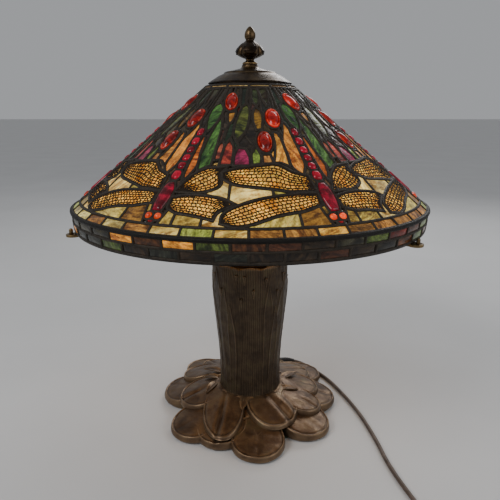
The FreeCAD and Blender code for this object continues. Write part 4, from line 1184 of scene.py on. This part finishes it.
low_corner, high_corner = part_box("rim_band")
lead_ring("rim_ring", "rim_band",
          rounded_box_section(high_corner.x - 0.0036, high_corner.x + 0.0004,
                              low_corner.z, high_corner.z + 0.0004, 0.0011))
low_corner, high_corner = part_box("aperture_ring")
lead_ring("top_ring", "aperture_ring",
          rounded_box_section(high_corner.x - 0.005, high_corner.x, low_corner.z, high_corner.z, 0.001))
bead_r, bead_z, bead_radius = LOW_R - 0.0007, LOW_Z + 0.0002, 0.0026
lead_ring("corner_bead", "corner_came",
          [(bead_r + bead_radius * math.cos(a), bead_z + bead_radius * math.sin(a))
           for a in np.linspace(0, 2 * math.pi, 13)[:-1]])

# ---------------------------------------------------------------- base

DOME = [(0, 36), (56, 34), (80, 27), (104, 20), (130, 13.5), (158, 10)]
UPPER_RISE = 7.5
# middle x, y, half width, half depth, fold direction, fold depth, ridge height
LOWER_PADS = [
    (-80, 108, 38, 38, 40, 0.0, 0.0), (-103, 27, 43, 48, 160, 0.4, 0.3), (-82, -71, 39, 40, 215, 0.3, 0.2),
    (-42, -88, 38, 39, 262, 2.2, 0.6), (11, -114, 40, 40, 275, 0.5, 0.3), (82, -66, 40, 40, 320, 0.5, 0.4),
    (99, 10, 42, 45, 5, 1.2, 0.5), (83, 88, 44, 44, 45, 0.8, 0.5), (22, 110, 48, 45, 90, 0.8, 0.5),
]
UPPER_PADS = [
    (-84, 66, 34, 32, 165, 0.0, 0.0), (-66, 100, 22, 22, 120, 1.4, 0.8), (-76, -12, 38, 42, 205, 2.4, 1.2),
    (-40, -60, 32, 64, 256, 3.0, 1.2), (34, -52, 40, 52, 322, 2.6, 2.2), (78, 14, 36, 36, 10, 0.6, 0.4),
    (80, -36, 32, 30, 335, 0.8, 0.5), (68, 66, 38, 38, 30, 2.2, 1.0), (4, 80, 40, 44, 88, 1.6, 0.8),
    (-38, 62, 40, 42, 122, 1.8, 0.8),
]
PAD_RINGS = [
    0.0, 0.07, 0.15, 0.24, 0.33, 0.42, 0.51, 0.60, 0.68, 0.75, 0.80, 0.84, 0.87, 0.895, 0.915, 0.935,
    0.955, 0.972, 0.986, 0.996, 1.0,
]
PAD_SIDES = 150


def dome_height(r):
    return table(DOME, r)


def bell(x, middle, width):
    return math.exp(-((x - middle) / width) ** 2)


def pad(build, one, lift, seed):
    """Lily pad: softly domed disc with a fine rolled rim, a fold on some, its edge full and round."""
    cx, cy, rx, ry, fold_turn, fold, ridge_high = one
    fold_at = math.radians(fold_turn)
    foot_z = 2.5 if lift < 1 else max(2.5, dome_height(math.hypot(cx, cy)) - 12)
    rings = []
    for share in PAD_RINGS:
        ring = []
        for j in range(PAD_SIDES):
            a = 2 * math.pi * j / PAD_SIDES
            edge = 1 + 0.022 * noise.noise(Vector((math.cos(a) * 1.3 + seed, math.sin(a) * 1.3, seed)))
            lx, ly = share * math.cos(a), share * math.sin(a)
            x, y = cx + rx * edge * lx, cy + ry * edge * ly
            along = lx * math.cos(fold_at) + ly * math.sin(fold_at)
            aside = -lx * math.sin(fold_at) + ly * math.cos(fold_at) + 0.10 * along * along
            z = dome_height(math.hypot(x, y)) + lift
            z += 1.3 * (1 - share * share) - 0.75 * bell(share, 0.885, 0.035) + 0.75 * bell(share, 0.95, 0.03)
            reach = max(0.0, min(1.0, 0.55 + along * 1.1)) * (1 if share < 0.9 else 0.55)
            z -= fold * bell(aside, 0, 0.085) * reach
            z += ridge_high * (bell(aside, 0.24, 0.13) + 0.6 * bell(aside, -0.24, 0.13)) * reach
            swell = 1.1 * noise.noise(Vector((x / 26, y / 26, seed)))
            z += swell + 0.3 * noise.noise(Vector((x / 9, y / 9, seed + 4)))
            z -= 3.4 * max(0.0, (share - 0.955) / 0.045) ** 2.4
            ring.append(Vector((x, y, max(foot_z + 1.2, z))))
        rings.append(ring)
    rim = rings[-1]
    for drop, draw in ((1.8, 1.006), (3.8, 1.0), (6.2, 0.975)):
        rings.append([Vector((cx + (p.x - cx) * draw, cy + (p.y - cy) * draw,
                              max(foot_z + 0.9 * (1 - drop / 8), p.z - drop))) for p in rim])
    rings.append([Vector((cx + (p.x - cx) * 0.95, cy + (p.y - cy) * 0.95, foot_z)) for p in rim])
    verts = [rings[0][0] * MM] + [p * MM for ring in rings[1:] for p in ring]
    faces = [(0, 1 + j, 1 + (j + 1) % PAD_SIDES) for j in range(PAD_SIDES)]
    for i in range(len(rings) - 2):
        for j in range(PAD_SIDES):
            here, over = 1 + i * PAD_SIDES + j, 1 + i * PAD_SIDES + (j + 1) % PAD_SIDES
            faces.append((here, here + PAD_SIDES, over + PAD_SIDES, over))
    last = 1 + (len(rings) - 2) * PAD_SIDES
    faces.append(tuple(last + j for j in range(PAD_SIDES))[::-1])
    build.add(verts, faces)


base = Build()
for i, one in enumerate(LOWER_PADS):
    pad(base, one, 0.0, 1.7 * i + 0.3)
for i, one in enumerate(UPPER_PADS):
    pad(base, one, UPPER_RISE, 1.3 * i + 20.3)
MOUND = [(92, 2.6), (94, 6), (92, 14), (80, 24), (66, 31), (56, 37), (52, 42.5)]
lathe(base, [(r * MM, z * MM) for r, z in MOUND], 120)


LEAF_STEPS, LEAF_THICK = 18, 1.6


def leaf(build, root, tip, width, rise, curl, across_cup=0.22):
    """Pointed leaf from root to tip, cupped across, its tip curling up; lengths in millimetres."""
    root, tip = Vector(root), Vector(tip)
    along = tip - root
    flat = Vector((along.x, along.y, 0)).normalized()
    side = Vector((-flat.y, flat.x, 0))
    rings = []
    for i in range(LEAF_STEPS + 1):
        t = i / LEAF_STEPS
        half = width / 2 * math.sin(math.pi * min(1.0, 0.12 + 0.88 * t) ** 0.8) ** 0.8 + 0.3
        lift = rise * math.sin(math.pi * t) + curl * max(0.0, t - 0.7) ** 2 * 11
        here = root + along * t + Vector((0, 0, lift))
        ring = []
        for q in (-1, -0.66, -0.33, 0, 0.33, 0.66, 1):
            crease = 0.5 * math.exp(-(q / 0.15) ** 2)
            ring.append((here + side * (q * half) + Vector((0, 0, across_cup * half * q * q - crease))) * MM)
        for q in (1, 0.5, 0, -0.5, -1):
            under = across_cup * half * q * q - LEAF_THICK
            ring.append((here + side * (q * half * 0.96) + Vector((0, 0, under))) * MM)
        rings.append(ring)
    loft(build, [ring[::-1] for ring in rings])


# buds and small leaves between the pads
leaf(base, (-7, -36, 42), (-12, -74, 36.5), 17, 3.4, 0.4, across_cup=-0.2)
leaf(base, (6, -36, 41), (14, -92, 28), 12, 2.2, 0.4)
leaf(base, (-50, 34, 42), (-80, 50, 38), 13, 2.6, 1.6)
leaf(base, (-56, -2, 42), (-70, -30, 38), 12, 2.0, 1.0)
leaf(base, (-54, 14, 42), (-78, 22, 37), 12, 3.0, 1.8)
leaf(base, (54, 14, 41), (80, 40, 37), 15, 2.4, 1.4)
leaf(base, (52, -18, 40), (78, -14, 36), 13, 2.0, 1.0)
leaf(base, (-20, 56, 39), (-34, 92, 35), 15, 2.2, 1.6)
base.make("lily_pad_base", "stand", bronze, "bronze", ["base_casting"], sharp=55)

# ---------------------------------------------------------------- column

COLUMN = [
    (43, 50.4), (52, 49.6), (60, 49.2), (90, 49.2), (116, 50.8), (138, 53), (164, 55.6), (190, 58),
    (210, 59.6), (228, 60.0), (242, 59.6), (256, 58.8),
]
# long leaves: azimuth, height of the tip, half width in degrees, height over the reeds
LEAVES = [
    (-62, 246, 17, 0.6), (-27, 250, 12, 0.5), (37, 250, 13, 0.5), (70, 246, 16, 0.6),
    (104, 249, 15, 0.5), (139, 246, 17, 0.6), (172, 250, 14, 0.5), (-152, 247, 16, 0.6),
    (-120, 250, 14, 0.5), (-92, 246, 15, 0.6), (-43, 222, 10, 1.3), (30, 226, 9, 1.2),
    (53, 216, 10, 1.4), (88, 222, 10, 1.3), (122, 214, 10, 1.4), (156, 223, 10, 1.3),
    (-169, 216, 10, 1.4), (-136, 222, 10, 1.3), (-105, 215, 10, 1.4), (-76, 223, 10, 1.3),
    (-33, 196, 7, 1.9), (42, 192, 7, 1.9), (107, 190, 7, 1.9), (172, 195, 7, 1.9), (-120, 191, 7, 1.9),
]
CURLS = [
    (-20, 241, 5), (-8, 240, 5), (5, 219, 5), (-13, 205, 4.5), (24, 236, 5), (58, 238, 5),
    (44, 215, 4.5), (98, 222, 5), (118, 238, 5), (140, 214, 4.5), (163, 236, 5), (-175, 212, 4.5),
    (-154, 238, 5), (-110, 236, 5), (-132, 214, 4.5), (-66, 236, 5), (-48, 216, 4.5),
]
ROWS, COLUMNS = 230, 720
SCALLOPS = 11


def column_relief(azimuth, z):
    """Height of the cast surface over the column's outline, in millimetres, for arrays of places."""
    drift = 0.05 * np.sin(z / 31 + 2 * np.sin(3 * azimuth)) + 0.02 * np.sin(z / 13 + 5 * azimuth)
    reeds = np.abs(np.cos((azimuth + drift * 0.5) * 17)) ** 0.6
    lines = np.abs(np.cos((azimuth + drift * 0.3) * 52))
    h = -2.6 + 0.55 * reeds * (0.55 + 0.45 * np.sin(4 * azimuth + 1) ** 2) + 0.38 * lines
    for leaf_az, tip, half, layer in LEAVES:
        down = np.clip((tip - z) / 100, 0, None)
        spread = math.radians(half) * np.clip(1.75 * down ** 0.75, 0.02, 1.0)
        spread = spread * np.clip(1.25 - 0.28 * down, 0.6, 1)
        middle = math.radians(leaf_az) + 0.03 * np.sin(z / 40 + leaf_az)
        q = ((azimuth - middle + math.pi) % (2 * math.pi) - math.pi) / spread
        cover = 1 / (1 + np.exp(np.clip((np.abs(q) - 1) * 22, -40, 40))) * (z < tip + 1)
        ribs = 0.30 * np.abs(np.cos(q * half / 17 * 2.4 * math.pi))
        body = -2.2 + layer * (0.6 + 0.4 * q * q) - 0.3 * np.exp(-(q / 0.10) ** 2) + ribs
        body = body + 0.35 * np.exp(-((np.abs(q) - 0.9) / 0.09) ** 2)
        body = body - layer * 0.5 * np.clip((95 - z) / 45, 0, 1)
        h = h + (body - h) * cover
    return h


column = Build()
turn = np.linspace(0, 2 * math.pi, COLUMNS, endpoint=False)[None, :]
heights = np.linspace(43.2, 250, ROWS)[:, None]
radii = np.interp(heights, [p[0] for p in COLUMN], [p[1] for p in COLUMN]) + column_relief(turn, heights)
rough = np.array([[noise.noise(Vector((math.sin(a) * 9, math.cos(a) * 9, z / 9))) for a in turn[0, ::4]]
                  for z in heights[:, 0]])
radii = radii + 0.35 * np.repeat(rough, 4, axis=1)
edge_z = 250.6 + 3.6 * np.abs(np.cos(turn[0] * SCALLOPS / 2)) ** 0.8


def column_ring(radius_row, z_row):
    return [around(a, r, z) * MM for r, a, z in zip(radius_row, turn[0], z_row)]


rings = [column_ring(row, np.full(COLUMNS, z)) for row, z in zip(radii, heights[:, 0])]
top_row = radii[-1]
for inset, drop in ((0.2, 0.3), (0.8, 0.0), (1.7, 0.25), (2.2, 0.9)):
    rings.append(column_ring(top_row - inset, edge_z - drop))
rings.append(column_ring(top_row - 2.6, np.full(COLUMNS, 247.5)))
rings.append(column_ring(np.full(COLUMNS, 53.5), np.full(COLUMNS, 246.2)))
rings.append(column_ring(np.full(COLUMNS, 46.6), np.full(COLUMNS, 246.0)))
rings.append(column_ring(np.full(COLUMNS, 46.4), np.full(COLUMNS, 241.0)))
loft(column, rings)


TIP_STEPS, TIP_REACH, TIP_THICK = 14, 2.6, 0.55


def curled_tip(build, azimuth, z_tip, width):
    """Free end of a leaf that leaves the column and rolls outwards."""
    azimuth = math.radians(azimuth)
    across = Vector((math.cos(azimuth), math.sin(azimuth), 0))
    out = Vector((math.sin(azimuth), -math.cos(azimuth), 0))
    rings = []
    for i in range(TIP_STEPS + 1):
        t = i / TIP_STEPS
        if t < 0.55:
            z = z_tip - 12 + 22 * t
            r, lean = table(COLUMN, z) - 1.9 + 0.9 * t, 0.1
        else:
            roll = (t - 0.55) / 0.45 * 2.4
            r = table(COLUMN, z_tip) - 1.4 + TIP_REACH * 0.5 * (1 - math.cos(roll))
            z, lean = z_tip + 0.1 + TIP_REACH * 0.6 * math.sin(roll), roll
        half = width / 2 * max(0.0, 1 - abs(t - 0.5) / 0.5) ** 0.7 * (0.35 + 0.65 * t) + 0.25
        normal = out * math.cos(lean) - Vector((0, 0, math.sin(lean)))
        here = out * r + Vector((0, 0, z))
        ring = [(here + across * (q * half) + normal * (TIP_THICK + 0.12 * half * q * q)) * MM
                for q in (-1, -0.5, 0, 0.5, 1)]
        ring += [(here + across * (q * half) - normal * TIP_THICK) * MM for q in (1, 0, -1)]
        rings.append(ring)
    loft(build, rings)


for curl_az, tip, width in CURLS:
    curled_tip(column, curl_az, tip, width)
column.make("leaf_column", "stand", column_bronze, "bronze", ["column_casting"], sharp=60)

# ---------------------------------------------------------------- cap and finial

CAP = [
    (5.3, 528.0), (12, 526), (36, 520), (48, 513.4), (56, 508.9), (58.6, 508.7), (59.2, 509.3),
    (58.6, 510.4), (55.5, 512.5), (49.7, 516.2), (43.3, 520), (38.6, 522.0), (37.4, 522.6),
    (36.9, 523.4), (36.2, 524.3), (30.2, 525.8), (24, 527.2), (17.5, 528.8), (14.2, 529.8),
    (12.4, 531.0), (11.6, 532.6), (11.2, 534.2), (10.6, 535.0), (5.3, 535.0),
]
cap = Build()
lathe_points = [(p.x * MM, p.y * MM) for p in smooth_flat(CAP, 1.4, True, 42)]
CAP_SIDES = 144
verts = []
for j in range(CAP_SIDES):
    a = 2 * math.pi * j / CAP_SIDES
    for r, z in lathe_points:
        w = 1 + 0.0025 * noise.noise(Vector((math.sin(a) * 3, math.cos(a) * 3, z * 90)))
        verts.append(Vector((r * w * math.sin(a), -r * w * math.cos(a), z)))
cap.add(verts, closed_faces(CAP_SIDES, len(lathe_points)))
cap.make("turned_cap", "cap", cap_bronze, "bronze", ["vase_cap"], sharp=45)

FINIAL = [
    (5.1, 535.3), (10.2, 535.3), (10.7, 536.2), (10.2, 537.4), (8.2, 538.6), (6.2, 539.6), (5.8, 540.8),
    (6.4, 542.2), (9.6, 543.4), (13.4, 545.0), (17.4, 547.2), (19.3, 549.6), (19.6, 552), (18.4, 555.2),
    (15.6, 558.6), (12.2, 561.6), (8.6, 564.2), (6.2, 566.4), (5.9, 567.4), (6.8, 568.8), (7.6, 570.8),
    (7.7, 573.6), (6.9, 577.2), (5.2, 580.4), (3.2, 583.0), (1.2, 584.6), (0.02, 585),
]


def lobed(r, z, a):
    swell = math.exp(-((z / MM - 551.5) / 7.5) ** 2)
    lobes = abs(math.cos(2 * a)) ** 0.7
    groove = 1 - 0.17 * swell * (1 - lobes)
    bud = math.exp(-((z / MM - 574) / 6) ** 2)
    return r * groove * (1 - 0.05 * bud * (1 - abs(math.cos(2.5 * a))))


def sepal_side(out, across, r, z, half, shares):
    """One face of a sepal's cross section, curved round the bud."""
    return [(out * (r - SEPAL_CURVE * (q * half) ** 2) + across * (q * half) + Vector((0, 0, z))) * MM
            for q in shares]


BUD = [(542, 7), (545, 13.0), (548, 17.8), (552, 19.6), (556, 17.6), (560, 13.6), (563, 10.0)]
SEPAL_STEPS, SEPAL_CURVE = 18, 0.085 * 0.45
finial = Build()
lathe(finial, [(p.x * MM, p.y * MM) for p in smooth_flat(FINIAL, 0.7, False, 60)], 128, radius=lobed)
for k in range(4):
    a = math.radians(90 * k)
    out, across = Vector((math.sin(a), -math.cos(a), 0)), Vector((math.cos(a), math.sin(a), 0))
    rings = []
    for i in range(SEPAL_STEPS + 1):
        t = i / SEPAL_STEPS
        z = 563 - 17.5 * t
        r = table(BUD, z) + 0.3
        lip = max(0.0, t - 0.72) / 0.28
        r += 2.6 * lip ** 1.5
        z += 1.9 * lip ** 3
        half = (1.6 + 7.4 * math.sin(math.pi * min(1.0, t * 0.94 + 0.03)) ** 0.9) * (1 - 0.35 * lip ** 2)
        rings.append(sepal_side(out, across, r + 0.8, z, half, (-1, -0.6, -0.2, 0.2, 0.6, 1))
                     + sepal_side(out, across, r - 0.9, z, half, (1, 0.3, -0.3, -1)))
    loft(finial, rings)
finial.make("bud_finial", "finial", cap_bronze, "bronze", ["finial"], sharp=50)

# ---------------------------------------------------------------- fittings inside the shade

def refined(name, body, mat, slot_name, edge, sharp=35):
    """The CAD part with its edges rounded, as its own mesh."""
    mesh = nodes[name].data.copy()
    mesh.materials.clear()
    obj = link(bpy.data.objects.new(name + "_finished", mesh))
    work = bmesh.new()
    work.from_mesh(mesh)
    bmesh.ops.remove_doubles(work, verts=work.verts, dist=2e-6)
    bmesh.ops.dissolve_limit(work, angle_limit=math.radians(0.6), verts=work.verts, edges=work.edges)
    work.to_mesh(mesh)
    work.free()
    mesh.materials.append(mat)
    rounding = obj.modifiers.new("edges", "BEVEL")
    rounding.width = edge
    rounding.segments = 2
    rounding.limit_method = "ANGLE"
    rounding.angle_limit = math.radians(35)
    bpy.context.view_layer.update()
    shape = bpy.data.meshes.new_from_object(obj.evaluated_get(bpy.context.evaluated_depsgraph_get()))
    obj.modifiers.clear()
    obj.data = shape
    shape.polygons.foreach_set("use_smooth", [True] * len(shape.polygons))
    shape.set_sharp_from_angle(angle=math.radians(sharp))
    return finished(obj, body, slot_name, [name])


for name, body, mat, slot_name, edge in (
    ("base_felt", "stand", felt, "felt", 0.0006), ("base_cover_plate", "stand", steel, "steel", 0.0003),
    ("cover_screws", "stand", steel, "steel", 0.0003),
    ("column_collar", "stand", column_bronze, "bronze", 0.0006),
    ("centre_pipe", "stand", steel, "steel", 0.0002), ("riser_pipe", "stand", brass, "brass", 0.0002),
    ("pipe_washer", "stand", steel, "steel", 0.0003), ("pipe_nuts", "stand", brass, "brass", 0.0004),
    ("cluster_body", "stand", brass, "brass", 0.0008),
    ("hub_ring", "shade_carrier", arm_brass, "arm_brass", 0.0006),
    ("arm_screws", "shade_carrier", arm_brass, "brass", 0.0003),
    ("rim_studs", "shade_carrier", arm_brass, "brass", 0.0004),
):
    refined(name, body, mat, slot_name, edge)
for k in (1, 2, 3):
    refined(f"socket_nipple_{k}", "stand", brass, "brass", 0.0002)
    refined(f"socket_shell_{k}", "stand", brass, "brass", 0.0008)
    refined(f"support_arm_{k}", "shade_carrier", arm_brass, "arm_brass", 0.0006)
    refined(f"bulb_base_{k}", f"bulb_{k}", steel, "steel", 0.0002)
    refined(f"bulb_glass_{k}", f"bulb_{k}", frosted, "bulb_glass", 0.0002, sharp=80)


BALL_SIDES, BALL_RINGS = 12, 7


def ball(build, centre, radius):
    verts = [centre + Vector((0, 0, radius))]
    for i in range(1, BALL_RINGS):
        t = math.pi * i / BALL_RINGS
        for j in range(BALL_SIDES):
            a = 2 * math.pi * j / BALL_SIDES
            ring_radius = radius * math.sin(t)
            verts.append(centre + Vector((ring_radius * math.cos(a), ring_radius * math.sin(a),
                                          radius * math.cos(t))))
    verts.append(centre - Vector((0, 0, radius)))
    faces = [(0, 1 + j, 1 + (j + 1) % BALL_SIDES) for j in range(BALL_SIDES)]
    for i in range(BALL_RINGS - 2):
        for j in range(BALL_SIDES):
            k = (j + 1) % BALL_SIDES
            here, below = 1 + i * BALL_SIDES, 1 + (i + 1) * BALL_SIDES
            faces.append((here + j, below + j, below + k, here + k))
    last = 1 + (BALL_RINGS - 2) * BALL_SIDES
    faces += [(last + (j + 1) % BALL_SIDES, last + j, len(verts) - 1) for j in range(BALL_SIDES)]
    build.add(verts, faces)


BELL = [(0.0003, 0), (0.0022, 0), (0.0034, 0.0006), (0.0040, 0.0018), (0.0038, 0.0034), (0.0030, 0.0060),
        (0.0026, 0.0085), (0.0029, 0.0100), (0.0031, 0.0110), (0.0027, 0.0124), (0.0016, 0.0134),
        (0.0003, 0.0138)]
for k in (1, 2, 3):
    low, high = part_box(f"pull_chain_{k}")
    cx, cy = (low.x + high.x) / 2, (low.y + high.y) / 2
    chain = Build()
    lathe(chain, [(r, low.z + z) for r, z in BELL], 28, (cx, cy))
    z = low.z + 0.0155
    wire = [(0.00035, low.z + 0.012), (0.00042, (low.z + high.z) / 2), (0.00035, high.z - 0.0005)]
    lathe(chain, wire, 8, (cx, cy))
    while z < high.z - 0.0015:
        ball(chain, Vector((cx, cy, z)), 0.00155)
        z += 0.0037
    chain.make(f"bead_chain_{k}", f"pull_{k}", brass, "brass", [f"pull_chain_{k}"], sharp=60)
